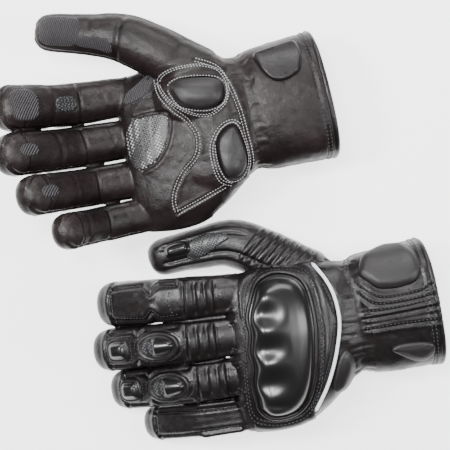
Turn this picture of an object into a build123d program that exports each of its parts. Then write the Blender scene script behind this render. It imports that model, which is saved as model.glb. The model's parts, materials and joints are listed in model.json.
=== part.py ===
from build123d import *
import math
import os

# Pair of leather motorcycle riding gloves: a left glove lying back up and a right glove lying palm up.
#
# Each glove is built in its own glove frame, in millimetres: +X runs from the fingers to the cuff, +Y to the
# thumb and +Z to the back of the hand.  The origin is on the middle of the hand above the knuckle line.  The
# right glove is the left one mirrored through its XY plane, with its own rest angles, so it lies palm up.
# Every hinge of the four fingers and the wrist is parallel to the glove's Y axis, and both hinges of the thumb
# are parallel to its Z axis.

# ---- walls and clearances -------------------------------------------------------------------------------
WALL = 2.4            # leather with its backing
LINING = 0.8          # knitted lining inside the hand
HINGE_GAP = 0.5       # from a hinge axis to the nearest wall of either stall
CUT_MARGIN = 2.0      # degrees of extra opening in every hinge's wedge
REACH = 70.0          # half length of the cutting prisms

# ---- hand: stations from the finger roots to the wrist: x, width, thickness, centre y, centre z ------------
HAND_STATIONS = [
    (-11.0, 103.0, 30.0, -2.0, -1.0),
    (8.0, 106.0, 37.0, -2.0, -1.5),
    (30.0, 104.0, 42.0, -1.0, -2.5),
    (50.0, 92.0, 44.0, 5.0, -3.5),
    (67.0, 80.0, 45.0, 12.0, -4.0),
]
CORNER_SHARE = 0.47   # corner radius of a hand or cuff section, as a share of its thickness
SEAM_Z = -3.0         # the side seam between the back shell and the palm shell
THUMB_NOTCH = ((8.0, 61.0), 26.0, (-40.0, 8.0))  # x range, lowest y, z range of the hand's thumb opening

# ---- cuff: stations along its own axis: distance, width, thickness ---------------------------------------
WRIST = (68.0, 12.5, -4.0)
CUFF_STATIONS = [(0.0, 80.0, 45.0), (20.0, 80.0, 48.0), (49.0, 83.0, 54.0)]
CUFF_SWING = 4.0      # the cuff's axis leans this far to the thumb's side
BINDING_WIDTH = 3.4
BINDING_PROUD = 0.9

# ---- fingers ---------------------------------------------------------------------------------------------
ROOT_X = -12.0        # the line of the four knuckle hinges
FLATNESS = 0.88       # a finger's thickness over its width
FINGERS = {
    "index": {"y": 37.0, "z": -1.0, "base": 29.0, "tip": 62.0, "half": (12.8, 14.0, 14.4)},
    "middle": {"y": 9.5, "z": 0.0, "base": 31.0, "tip": 66.0, "half": (12.6, 13.6, 13.7)},
    "ring": {"y": -17.5, "z": -1.0, "base": 27.0, "tip": 63.0, "half": (12.2, 12.8, 13.0)},
    "little": {"y": -42.5, "z": -4.0, "base": 25.0, "tip": 46.0, "half": (11.2, 11.5, 11.7)},
}
KNUCKLE_LIMITS = (-8.0, 42.0)   # flexion from straight, degrees
MIDDLE_LIMITS = (0.0, 60.0)
WRIST_LIMITS = (-15.0, 15.0)    # from rest
WRIST_WEDGE = 13.0              # degrees cut back on each side of the wrist hinge

THUMB_ROOT = (44.0, 43.0, -11.0)
THUMB = {"base": 56.0, "tip": 57.0, "half": (13.6, 12.8, 12.2)}

FLAP_LIMITS = (0.0, 90.0)

# ---- rest angles and places of the two gloves ------------------------------------------------------------
# knuckle and middle: flexion of each finger's two hinges.  fan: each finger's lean to the thumb's side.
# bend: how far the last part of each finger curves.  thumb: angle from the finger direction to the thumb side,
# then flexion of its second hinge, then its pitch to the palm.  thumb_limits: from rest, outward and bent.
GLOVES = {
    "left": {
        "mirror": False,
        "turn": 7.0,
        "at": (1.0, -77.5, 34.6),
        "wrist": 5.0,
        "knuckle": {"index": 3.0, "middle": 2.0, "ring": 3.0, "little": 7.0},
        "middle": {"index": 15.0, "middle": 14.0, "ring": 16.0, "little": 18.0},
        "fan": {"index": 1.0, "middle": -0.8, "ring": -1.5, "little": -2.0},
        "bend": 14.0,
        "thumb": (31.0, 38.5, 5.0),
        "thumb_limits": ((0.0, 4.0), (-1.5, 0.0)),
    },
    "right": {
        "mirror": True,
        "turn": 10.0,
        "at": (-68.6, 53.0, 29.0),
        "wrist": -7.0,
        "knuckle": {"index": 10.0, "middle": 12.0, "ring": 14.0, "little": 18.0},
        "middle": {"index": 27.0, "middle": 29.0, "ring": 31.0, "little": 34.0},
        "fan": {"index": 0.5, "middle": -0.9, "ring": -1.3, "little": -2.1},
        "bend": 18.0,
        "thumb": (35.0, 22.0, 0.0),
        "thumb_limits": ((-3.0, 15.0), (-13.0, 4.0)),
    },
}

# ---- armour, panels and fastener: outlines in the frame of the piece they sit on ---------------------------
GUARD_X, GUARD_Y = (-2.0, 33.0), (-50.0, 44.0)
GUARD_CORNER = 15.0
GUARD_HEIGHT = 7.5
GUARD_BUMPS = {"index": 32.0, "middle": 10.0, "ring": -11.0, "little": -32.0}
BUMP_RADIUS = 15.5
SURROUND_WIDTH = 4.5
SURROUND_HEIGHT = 3.0
PIPING_RADIUS = 1.6
PIPING_ROUTE = [(41.5, -38.0), (48.0, -24.0), (53.0, -8.0), (57.0, 8.0), (55.5, 27.0), (48.0, 44.0)]
ULNA_PAD = ((61.5, -17.0), (8.0, 20.0), 3.0)       # centre, size, height
PALM_SLIDERS = [((46.0, 15.0), (26.0, 18.0)), ((44.0, -17.0), (18.0, 28.0))]
SLIDER_HEIGHT = 4.5
GRIP_PANEL = ((6.0, -6.0), (32.0, 46.0), 1.0)
CUFF_PADS = [((26.0, 19.0), (40.0, 30.0)), ((32.0, -25.0), (28.0, 13.0))]
CUFF_PAD_HEIGHT = 4.0
FINGER_SLIDERS = [((-14.0, 24.0, 14.0), 6.5), ((-41.0, 15.0, 15.0), 4.0)]  # centre x, length, width; corner
FINGER_SLIDER_HEIGHT = 4.0
STRETCH_X, STRETCH_HEIGHT, STRETCH_SHARE = (-24.5, -8.0), 1.8, 0.72
PATCH_HEIGHT = 1.0
PATCH_X, PATCH_Y = (16.0, 38.0), (8.0, 30.0)
FLAP_X, FLAP_Y = (10.0, 42.0), (5.0, 34.0)
FLAP_THICKNESS = 2.0
FLAP_AXIS_DROP = 2.0  # the flap's hinge lies this far outside the cuff's wall
PAD_EDGE = 1.0

os.makedirs("parts", exist_ok=True)


# ---- frames ------------------------------------------------------------------------------------------------
def flexed(point, flexion, fan=0.0):
    """Frame of a stall that points along -X, bent to the palm by flexion and fanned to +Y by fan."""
    return Pos(*point) * Rot(0, -flexion, 0) * Rot(0, 0, -fan)


def swung(point, angle, pitch=0.0):
    """Frame of a thumb stall that points along -X, swung to +Y by angle and pitched to the palm."""
    return Pos(*point) * Rot(0, 0, -angle) * Rot(0, -pitch, 0)


def place_of(frame, point):
    """Where a point of that frame lies in the glove frame."""
    return tuple((frame * Pos(*point)).position)


def finger_frames(glove, name):
    """Frames of a finger's two stalls, and the points of its two hinges."""
    finger, first, fan = FINGERS[name], glove["knuckle"][name], glove["fan"][name]
    both = first + glove["middle"][name]
    root = (ROOT_X, finger["y"], finger["z"])
    base = flexed(root, first, fan)
    joint = place_of(base, (-finger["base"], 0, 0))
    return base, flexed(joint, both, fan), root, joint


def thumb_frames(glove):
    """Frames of the thumb's two stalls, and the points of its two hinges."""
    swing, flexion, pitch = glove["thumb"]
    base = swung(THUMB_ROOT, swing, pitch)
    joint = place_of(base, (-THUMB["base"], 0, 0))
    return base, swung(joint, swing - flexion, pitch), THUMB_ROOT, joint


def cuff_frame(glove):
    return Pos(*WRIST) * Rot(0, glove["wrist"], 0) * Rot(0, 0, CUFF_SWING)


def world_of(glove):
    """Frame of a glove in the pair, after any mirroring."""
    return Pos(*glove["at"]) * Rot(0, 0, glove["turn"])


# ---- basic solids -------------------------------------------------------------------------------------------
def across(x, y=0.0, z=0.0, pitch=0.0):
    """Plane across the X direction, with its own x along +Y and its own y along +Z."""
    plane = Plane(origin=(0, 0, 0), x_dir=(0, 1, 0), z_dir=(1, 0, 0))
    return Location((x, y, z), (0, -pitch, 0)) * plane.location


def oval_body(stations):
    """Solid through rounded sections: x, width, thickness, centre y, centre z."""
    faces = []
    for x, width, thick, y, z in stations:
        faces.append(across(x, y, z) * RectangleRounded(width, thick, CORNER_SHARE * thick))
    return loft(faces)


def hand_body(offset=0.0):
    return oval_body([(x, w + 2 * offset, t + 2 * offset, y, z) for x, w, t, y, z in HAND_STATIONS])


def cuff_body(offset=0.0, start=0.0, end=CUFF_STATIONS[-1][0]):
    """Solid of the cuff in its own frame, between two distances along it."""
    shape = oval_body([(x, w + 2 * offset, t + 2 * offset, 0, 0) for x, w, t in CUFF_STATIONS])
    if start > CUFF_STATIONS[0][0] or end < CUFF_STATIONS[-1][0]:
        shape = shape & slab(start, end)
    return shape


def slab(low, high):
    """Everything between two X values."""
    return Pos((low + high) / 2, 0, 0) * Box(high - low, 2 * REACH, 2 * REACH)


def stall(length, half, bend=0.0, tip=False, offset=0.0):
    """A finger stall's solid along -X.  half gives its half widths at the start, at 0.6 and at the end."""
    start, middle, end = (h + offset for h in half)
    if tip:
        reach = length + offset
        dome = end * 0.95
        straight = reach - dome
        stations = [(0.0, start), (0.5 * straight, (start + end) / 2), (straight, end)]
        for degrees in (25.0, 45.0, 62.0, 76.0):
            angle = math.radians(degrees)
            stations.append((straight + dome * math.sin(angle), end * math.cos(angle) ** 0.8))
    else:
        stations = [(0.0, start), (0.5 * length, (start + middle) / 2), (length, middle)]
    faces = []
    for distance, width in stations:
        angle = bend * distance / length
        if bend:
            radius = length / math.radians(bend)
            x = -radius * math.sin(math.radians(angle))
            z = -radius * (1 - math.cos(math.radians(angle)))
        else:
            x, z = -distance, 0.0
        faces.append(across(x, 0, z, angle) * Ellipse(width, width * FLATNESS))
    return loft(faces, ruled=True)


def wedge_prism(near, far, length, upright):
    """The room of one stall between its hinges.  near and far are (back angle, palm angle) of its ends, and
    far is None at a fingertip.  The prism runs along Y for a finger, or along Z where upright."""
    tall = 30.0

    def edge(x, sign, angles):
        back, palm = (math.tan(math.radians(a)) for a in angles)
        return [(x + sign * tall * back, tall), (x, 0.0), (x + sign * tall * palm, -tall)]

    start = edge(-HINGE_GAP, -1, near)
    if far is None:
        end = [(-REACH * 1.6, -tall), (-REACH * 1.6, tall)]
    else:
        end = list(reversed(edge(-length + HINGE_GAP, 1, far)))
    corners = start + end
    if upright:
        face = make_face(Polyline(*[(x, s) for x, s in corners], close=True))
        return extrude(face, REACH, both=True)
    plane = Plane(origin=(0, 0, 0), x_dir=(1, 0, 0), z_dir=(0, -1, 0))
    face = plane.location * make_face(Polyline(*[(x, s) for x, s in corners], close=True))
    return extrude(face, REACH, dir=(0, 1, 0), both=True)


def outline_prism(centre, size, corner, low, high):
    """A rounded rectangle in the XY plane, extruded from z low to z high."""
    corner = min(corner, 0.49 * min(size))
    return Pos(*centre, low) * extrude(RectangleRounded(*size, corner), high - low)


# ---- fingers and thumb ----------------------------------------------------------------------------------------
def half_wedges(rest, low, high, share):
    """(back, palm) wedge angles of one side of a hinge, for flexion from low to high about its rest."""
    return share * max(0.0, -low) + CUT_MARGIN, share * max(0.0, high) + CUT_MARGIN


def walled(frame, solid_of, room):
    """A stall's wall inside its room: the solid less the same solid taken in by the wall's thickness."""
    return ((frame * solid_of(0.0)) & room) - ((frame * solid_of(-WALL)) & room)


def finger_parts(glove, name):
    """The two stalls of a finger and what is sewn on them, in the glove frame."""
    finger = FINGERS[name]
    base, tip, root, joint = finger_frames(glove, name)
    first = glove["knuckle"][name]
    both = first + glove["middle"][name]
    near = half_wedges(first, KNUCKLE_LIMITS[0], KNUCKLE_LIMITS[1], 1.0)
    middle = half_wedges(both, MIDDLE_LIMITS[0], MIDDLE_LIMITS[1], 0.5)
    # lengths seen along the hinge's own direction are shorter by the fan
    run = finger["base"] * math.cos(math.radians(glove["fan"][name]))
    base_room = flexed(root, first) * wedge_prism(near, middle, run, False)
    tip_room = flexed(joint, both) * wedge_prism(middle, None, 0.0, False)
    half = finger["half"]

    def base_solid(offset):
        return stall(finger["base"], (half[0], half[1], half[1]), offset=offset)

    def tip_solid(offset):
        return stall(finger["tip"], (half[1], half[1], half[2]), glove["bend"], True, offset)

    parts = {
        f"{name}_base_stall": walled(base, base_solid, base_room),
        f"{name}_tip_stall": walled(tip, tip_solid, tip_room),
    }
    if name != "little":
        width = 2 * STRETCH_SHARE * half[0]
        panel = outline_prism(((STRETCH_X[0] + STRETCH_X[1]) / 2, 0), (STRETCH_X[1] - STRETCH_X[0], width),
                              PAD_EDGE, 2, 30)
        panel = (base_solid(STRETCH_HEIGHT) - base_solid(0.0)) & panel
        parts[f"{name}_stretch_panel"] = (base * panel) & base_room
    if name in ("middle", "ring"):
        armour = tip_solid(FINGER_SLIDER_HEIGHT) - tip_solid(0.0)
        pieces = []
        for (x, length, wide), corner in FINGER_SLIDERS:
            pieces.append(armour & outline_prism((x, 0), (length, wide), corner, 0, 30))
        parts[f"{name}_sliders"] = tip * Compound(pieces)
    return parts


def thumb_parts(glove):
    base, tip, root, joint = thumb_frames(glove)
    half = THUMB["half"]
    swing, flexion, pitch = glove["thumb"]
    low, high = glove["thumb_limits"][1]
    bent = half_wedges(flexion, min(0.0, flexion + low), flexion + high, 0.5)
    straight = (CUT_MARGIN, CUT_MARGIN)
    run = THUMB["base"] * math.cos(math.radians(pitch))
    base_room = swung(root, swing) * wedge_prism(straight, bent, run, True)
    tip_room = swung(joint, swing - flexion) * wedge_prism(bent, None, 0.0, True)

    def base_solid(offset):
        return stall(THUMB["base"], (half[0], half[1], half[1]), offset=offset)

    def tip_solid(offset):
        return stall(THUMB["tip"], (half[1], half[1], half[2]), 0.0, True, offset)

    return {
        "thumb_base_stall": walled(base, base_solid, base_room),
        "thumb_tip_stall": walled(tip, tip_solid, tip_room),
    }


# ---- hand ------------------------------------------------------------------------------------------------------
def thumb_notch():
    (x0, x1), y0, (z0, z1) = THUMB_NOTCH
    return Pos((x0 + x1) / 2, y0 + REACH / 2, (z0 + z1) / 2) * Box(x1 - x0, REACH, z1 - z0)


def wrist_room():
    """Everything on the finger side of the wrist hinge, with its wedge of clearance."""
    tall = 45.0
    lean = tall * math.tan(math.radians(WRIST_WEDGE))
    x, y, z = WRIST
    corners = [(-REACH, tall), (x - HINGE_GAP - lean, tall), (x - HINGE_GAP, 0), (x - HINGE_GAP - lean, -tall),
               (-REACH, -tall)]
    plane = Plane(origin=(0, 0, z), x_dir=(1, 0, 0), z_dir=(0, -1, 0))
    face = plane.location * make_face(Polyline(*corners, close=True))
    return extrude(face, 2 * REACH, dir=(0, 1, 0), both=True)


def knuckle_guard():
    """Hard guard with four knuckle domes, seated on the back of the hand."""
    x0, x1 = GUARD_X
    y0, y1 = GUARD_Y
    centre, size = ((x0 + x1) / 2, (y0 + y1) / 2), (x1 - x0, y1 - y0)
    plate = hand_body(GUARD_HEIGHT - 3.0)
    domes = [Pos(centre[0], y, 10.5) * Rot(0, 90, 0) * Cylinder(BUMP_RADIUS, 60) for y in GUARD_BUMPS.values()]
    crown = Pos(centre[0], 0, -4.0) * Rot(90, 0, 0) * Cylinder(30.5, 120)
    shape = plate
    for dome in domes:
        shape = shape + dome
    shape = shape & crown & outline_prism(centre, size, GUARD_CORNER, 0, 60)
    return shape - hand_body(0.0)


def guard_surround():
    x0, x1 = GUARD_X
    y0, y1 = GUARD_Y
    centre, size = ((x0 + x1) / 2, (y0 + y1) / 2), (x1 - x0, y1 - y0)
    wide = (size[0] + 2 * SURROUND_WIDTH, size[1] + 2 * SURROUND_WIDTH - 4)
    ring = outline_prism(centre, wide, GUARD_CORNER + SURROUND_WIDTH, 0, 60)
    ring = ring - outline_prism(centre, (size[0] + 0.2, size[1] + 0.2), GUARD_CORNER, -1, 61)
    return (hand_body(SURROUND_HEIGHT) - hand_body(0.0)) & ring


def reflective_piping():
    """Round piping along the wrist edge of the back panel, half sunk in a strip that follows the hand."""
    route = Spline(*[(x, y, 0) for x, y in PIPING_ROUTE])
    prism = extrude(trace(route, 2 * PIPING_RADIUS), 60)
    return (hand_body(2 * PIPING_RADIUS) - hand_body(0.0)) & prism


def hand_parts(glove):
    room = wrist_room()
    notch = thumb_notch()
    outer, inner, inside = hand_body(0.0), hand_body(-WALL), hand_body(-WALL - LINING)
    shell = ((outer - inner) & room) - notch
    back = shell & (Pos(0, 0, SEAM_Z + REACH) * Box(4 * REACH, 4 * REACH, 2 * REACH))
    palm = shell & (Pos(0, 0, SEAM_Z - REACH) * Box(4 * REACH, 4 * REACH, 2 * REACH))
    palm_side = [outline_prism(c, s, 0.35 * min(s), -60, -8) for c, s in PALM_SLIDERS]
    slider_room = hand_body(SLIDER_HEIGHT) - outer
    (ulna_at, ulna_size, ulna_height) = ULNA_PAD
    (grip_at, grip_size, grip_height) = GRIP_PANEL
    return {
        "back_shell": back,
        "palm_shell": palm,
        "hand_lining": ((inner - inside) & room) - notch,
        "knuckle_guard": knuckle_guard(),
        "guard_surround": guard_surround(),
        "reflective_piping": reflective_piping() & room,
        "ulna_pad": (hand_body(ulna_height) - outer) & outline_prism(ulna_at, ulna_size, 5, 0, 60) & room,
        "palm_sliders": Compound([(slider_room & prism) & room for prism in palm_side]),
        "grip_panel": (hand_body(grip_height) - outer) & outline_prism(grip_at, grip_size, 8, -60, -8),
    }


# ---- cuff and its flap -------------------------------------------------------------------------------------------
def cuff_room(glove):
    """The cuff's side of the wrist hinge, in the glove frame, with its wedge of clearance."""
    tall = 45.0
    lean = tall * math.tan(math.radians(WRIST_WEDGE))
    corners = [(2 * REACH, tall), (HINGE_GAP + lean, tall), (HINGE_GAP, 0), (HINGE_GAP + lean, -tall),
               (2 * REACH, -tall)]
    plane = Plane(origin=(0, 0, 0), x_dir=(1, 0, 0), z_dir=(0, -1, 0))
    face = plane.location * make_face(Polyline(*corners, close=True))
    return Pos(*WRIST) * Rot(0, glove["wrist"], 0) * extrude(face, 2 * REACH, dir=(0, 1, 0), both=True)


def cuff_parts(glove):
    frame, room = cuff_frame(glove), cuff_room(glove)
    end = CUFF_STATIONS[-1][0]
    rim_width, rim_thick = CUFF_STATIONS[-1][1:]
    outer = cuff_body(0.0)
    shell = outer - cuff_body(-WALL)

    def rim(offset):
        station = (rim_width + 2 * offset, rim_thick + 2 * offset)
        return oval_body([(end, *station, 0, 0), (end + BINDING_WIDTH, *station, 0, 0)])

    pads = []
    for centre, size in CUFF_PADS:
        block = outline_prism(centre, size, 0.3 * min(size), 0, 60)
        pads.append((cuff_body(CUFF_PAD_HEIGHT) - outer) & block)
    patch = palm_patch(PATCH_X, PATCH_Y, 0.0, PATCH_HEIGHT - 0.1)
    return {
        "cuff_shell": (frame * shell) & room,
        "cuff_binding": frame * (rim(BINDING_PROUD) - rim(-WALL - 0.6)),
        "cuff_pads": (frame * Compound(pads)) & room,
        "loop_patch": frame * patch,
    }


def palm_patch(x_range, y_range, low, high):
    """A piece that follows the palm side of the cuff between two heights off its wall."""
    centre = (sum(x_range) / 2, sum(y_range) / 2)
    size = (x_range[1] - x_range[0], y_range[1] - y_range[0])
    return (cuff_body(high) - cuff_body(low)) & outline_prism(centre, size, 4.0, -60, -8)


def flap_parts(glove):
    frame = cuff_frame(glove)
    return {
        "hook_patch": frame * palm_patch(PATCH_X, PATCH_Y, PATCH_HEIGHT, 2 * PATCH_HEIGHT),
        "cuff_flap": frame * palm_patch(FLAP_X, FLAP_Y, 2 * PATCH_HEIGHT, 2 * PATCH_HEIGHT + FLAP_THICKNESS),
    }


def flap_axis_point():
    """A point of the flap's hinge in the cuff frame, at its edge on the thumb side."""
    width, thick = CUFF_STATIONS[1][1:]
    return (sum(FLAP_X) / 2, FLAP_Y[1] + 1.0, -thick / 2 - FLAP_AXIS_DROP + 7.0)


# ---- both gloves ---------------------------------------------------------------------------------------------------
def bodies_of(glove):
    """The glove's rigid groups: body name to its nodes, in the glove frame."""
    groups = {"hand": hand_parts(glove), "cuff": cuff_parts(glove), "flap": flap_parts(glove)}
    for name in FINGERS:
        parts = finger_parts(glove, name)
        groups[f"{name}_base"] = {n: s for n, s in parts.items() if "tip" not in n and "slider" not in n}
        groups[f"{name}_tip"] = {n: s for n, s in parts.items() if "tip" in n or "slider" in n}
    parts = thumb_parts(glove)
    groups["thumb_base"] = {"thumb_base_stall": parts["thumb_base_stall"]}
    groups["thumb_tip"] = {"thumb_tip_stall": parts["thumb_tip_stall"]}
    return groups


def placed(glove, shape):
    """A glove-frame shape in the frame of the pair, before the pair is centred."""
    solids = shape.solids()
    if glove["mirror"]:
        solids = [mirror(solid, about=Plane.XY) for solid in solids]
    moved = [world_of(glove) * solid for solid in solids]
    return moved[0] if len(moved) == 1 else Compound(moved)


def pair():
    """Every body of both gloves, in the frame of the pair before it is centred."""
    made = {}
    for side, glove in GLOVES.items():
        for body, nodes in bodies_of(glove).items():
            made[f"{side}_{body}"] = {f"{side}_{n}": placed(glove, s) for n, s in nodes.items()}
    return made


def centring(made):
    """The move that puts the middle of the pair's underside at the origin."""
    box = Compound([s for nodes in made.values() for s in nodes.values()]).bounding_box()
    return Pos(-(box.min.X + box.max.X) / 2, -(box.min.Y + box.max.Y) / 2, -box.min.Z)


def main():
    made = pair()
    move = centring(made)
    for nodes in made.values():
        for node, shape in nodes.items():
            export_step(move * shape, f"parts/{node}.step")
    return made, move


if __name__ == "__main__":
    main()
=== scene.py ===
import bpy
import json
import math
import numpy as np
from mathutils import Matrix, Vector
from mathutils.bvhtree import BVHTree


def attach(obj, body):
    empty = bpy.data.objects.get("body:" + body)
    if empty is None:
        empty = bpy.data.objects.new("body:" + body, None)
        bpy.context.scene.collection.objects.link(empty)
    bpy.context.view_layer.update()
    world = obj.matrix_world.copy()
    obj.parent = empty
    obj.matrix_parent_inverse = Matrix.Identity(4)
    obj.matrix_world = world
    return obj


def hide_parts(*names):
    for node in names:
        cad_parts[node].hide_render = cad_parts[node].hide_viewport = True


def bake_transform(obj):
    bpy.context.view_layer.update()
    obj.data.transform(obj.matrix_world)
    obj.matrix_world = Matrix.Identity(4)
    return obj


# Looks of a pair of leather riding gloves: a left glove back up and a right glove palm up.
#
# Every glove is modelled in its own glove frame in millimetres: +X from the fingers to the cuff, +Y to the thumb
# and +Z to the back of the hand.  The right glove is mirrored through the XY plane, so it lies palm up.
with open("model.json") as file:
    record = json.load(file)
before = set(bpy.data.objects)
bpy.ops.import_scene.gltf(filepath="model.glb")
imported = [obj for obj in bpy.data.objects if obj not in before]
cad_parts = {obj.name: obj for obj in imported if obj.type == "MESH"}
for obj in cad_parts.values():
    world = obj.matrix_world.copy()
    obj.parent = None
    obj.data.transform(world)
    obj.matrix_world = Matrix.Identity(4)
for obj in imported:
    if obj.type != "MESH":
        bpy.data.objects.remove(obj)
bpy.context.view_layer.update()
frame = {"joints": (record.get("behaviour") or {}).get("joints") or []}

MM = 0.001
FINE_VOXEL = 0.85                            # mm, of the skin's mesh
VOXEL = FINE_VOXEL
SMOOTHING = 7                                # passes over the fine mesh, before the fixed ones
FIXED_SMOOTHING = 3

# ---- proportions shared with the CAD, mm and degrees ---------------------------------------------------------
ROOT_X = -12.0
FINGERS = {
    "index": {"y": 37.0, "z": -1.0, "base": 29.0, "tip": 62.0, "half": (13.0, 14.3, 15.0)},
    "middle": {"y": 9.5, "z": 0.0, "base": 31.0, "tip": 66.0, "half": (12.9, 13.7, 13.9)},
    "ring": {"y": -17.5, "z": -1.0, "base": 27.0, "tip": 63.0, "half": (12.6, 12.9, 13.1)},
    "little": {"y": -42.5, "z": -4.0, "base": 25.0, "tip": 46.0, "half": (11.6, 11.7, 11.9)},
}
THUMB_ROOT = (44.0, 43.0, -11.0)
THUMB_BASE, THUMB_TIP = 56.0, 57.0
THUMB_EDGE = 48.4    # across the hand, where its skin turns into the thumb's
THUMB_WEB = 54.0     # across the hand, where the skin of the thumb's root piece ends
DOME = 12.5          # length of the rounded end of a finger
CUFF_OVAL = (41.5, 26.0)   # half width and half thickness of the oval that the cuff's outlines are laid on
WRIST = (68.0, 12.5, -4.0)
CUFF_SWING = 4.0
CUFF_LENGTH = 52.0
GLOVES = {
    "left": {
        "mirror": False, "turn": 7.0, "wrist": 5.0, "bend": 14.0, "thumb": (31.0, 38.5, 5.0), "slim": 1.0, "seed": 3,
        "knuckle": {"index": 3.0, "middle": 2.0, "ring": 3.0, "little": 7.0},
        "middle": {"index": 15.0, "middle": 14.0, "ring": 16.0, "little": 18.0},
        "fan": {"index": 1.0, "middle": -0.8, "ring": -1.5, "little": -2.0},
    },
    "right": {
        "mirror": True, "turn": 10.0, "wrist": -7.0, "bend": 18.0, "thumb": (35.0, 22.0, 0.0), "slim": 0.965,
        "seed": 8,
        "knuckle": {"index": 10.0, "middle": 12.0, "ring": 14.0, "little": 18.0},
        "middle": {"index": 27.0, "middle": 29.0, "ring": 31.0, "little": 34.0},
        "fan": {"index": 0.5, "middle": -0.9, "ring": -1.3, "little": -2.1},
    },
}
# hand and cuff sections: distance along, width, thickness, centre y, centre z
HAND_SECTIONS = [
    (-13.5, 62.0, 10.0, -2.5, -2.0),
    (-12.5, 92.0, 20.0, -2.5, -1.5),
    (-9.0, 102.0, 27.0, -2.5, -1.0),
    (0.0, 105.0, 34.0, -2.4, -1.2),
    (12.0, 106.5, 39.0, -2.0, -1.8),
    (30.0, 104.0, 42.0, -1.0, -2.5),
    (46.0, 94.0, 43.0, 3.5, -3.3),
    (58.0, 84.0, 42.0, 8.5, -3.8),
    (66.0, 78.0, 40.5, 11.8, -4.0),
]
CUFF_SECTIONS = [
    (4.0, 77.0, 41.0),
    (12.0, 80.0, 45.5),
    (26.0, 81.5, 49.5),
    (40.0, 83.0, 52.5),
    (56.0, 84.5, 55.0),
]


# ---- small maths ----------------------------------------------------------------------------------------------
def rot_y(degrees):
    a = math.radians(degrees)
    return np.array([[math.cos(a), 0, math.sin(a)], [0, 1, 0], [-math.sin(a), 0, math.cos(a)]])


def rot_z(degrees):
    a = math.radians(degrees)
    return np.array([[math.cos(a), -math.sin(a), 0], [math.sin(a), math.cos(a), 0], [0, 0, 1]])


def smooth(low, high, x):
    t = np.clip((np.asarray(x, float) - low) / (high - low), 0, 1)
    return t * t * (3 - 2 * t)


def bell(x, width):
    return np.exp(-(np.asarray(x, float) / width) ** 2)


def spline(points, closed=False, per=10):
    """Points of a smooth curve through the given ones."""
    p = np.array(points, float)
    n = len(p)
    out = []
    for i in range(n if closed else n - 1):
        if closed:
            a, b, c, d = (p[(i + k) % n] for k in (-1, 0, 1, 2))
        else:
            a, b, c, d = p[max(i - 1, 0)], p[i], p[i + 1], p[min(i + 2, n - 1)]
        for k in range(per):
            t = k / per
            out.append(0.5 * (2 * b + (c - a) * t + (2 * a - 5 * b + 4 * c - d) * t * t
                              + (3 * b - a - 3 * c + d) * t ** 3))
    if not closed:
        out.append(p[-1])
    return np.array(out)


def rounded(points, radius, steps=5):
    """A closed outline with straight sides and rounded corners."""
    p = np.array(points, float)
    n, out = len(p), []
    for i in range(n):
        a, b, c = p[i - 1], p[i], p[(i + 1) % n]
        u, v = (a - b), (c - b)
        lu, lv = np.linalg.norm(u), np.linalg.norm(v)
        r = min(radius, 0.48 * lu, 0.48 * lv)
        s, e = b + u / lu * r, b + v / lv * r
        for k in range(steps + 1):
            t = k / steps
            out.append((1 - t) ** 2 * s + 2 * t * (1 - t) * b + t * t * e)
    return np.array(out)


def resampled(points, count=None, pitch=None, closed=False):
    """Points at even distances along a polyline."""
    p = np.array(points, float)
    if closed:
        p = ended(p)
    run = np.concatenate([[0], np.cumsum(np.linalg.norm(np.diff(p, axis=0), axis=1))])
    if pitch:
        count = max(2, int(round(run[-1] / pitch)))
    at = np.linspace(0, run[-1], count, endpoint=not closed)
    return np.stack([np.interp(at, run, p[:, k]) for k in range(p.shape[1])], axis=1)


def loop_of(points, per=6):
    """A smooth closed curve through points."""
    return spline(points, True, per)


def ended(curve):
    """A closed curve with its first point repeated at its end."""
    return np.vstack([curve, curve[:1]])


def grown(curve, share):
    """A closed curve made larger about its middle."""
    return curve + (curve - curve.mean(0)) * share


def line_distance(points, line):
    """Distance from 2-D points to a polyline."""
    best = np.full(len(points), 1e9)
    for a, b in zip(line[:-1], line[1:]):
        d = b - a
        t = np.clip(((points - a) @ d) / max(d @ d, 1e-9), 0, 1)
        best = np.minimum(best, np.linalg.norm(points - a - t[:, None] * d, axis=1))
    return best


def inside(points, outline):
    """True where 2-D points lie in a closed outline."""
    result = np.zeros(len(points), bool)
    for a, b in zip(outline, np.roll(outline, -1, axis=0)):
        crosses = (a[1] > points[:, 1]) != (b[1] > points[:, 1])
        x = a[0] + (points[:, 1] - a[1]) / (b[1] - a[1] + 1e-12) * (b[0] - a[0])
        result ^= crosses & (points[:, 0] < x)
    return result


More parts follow.
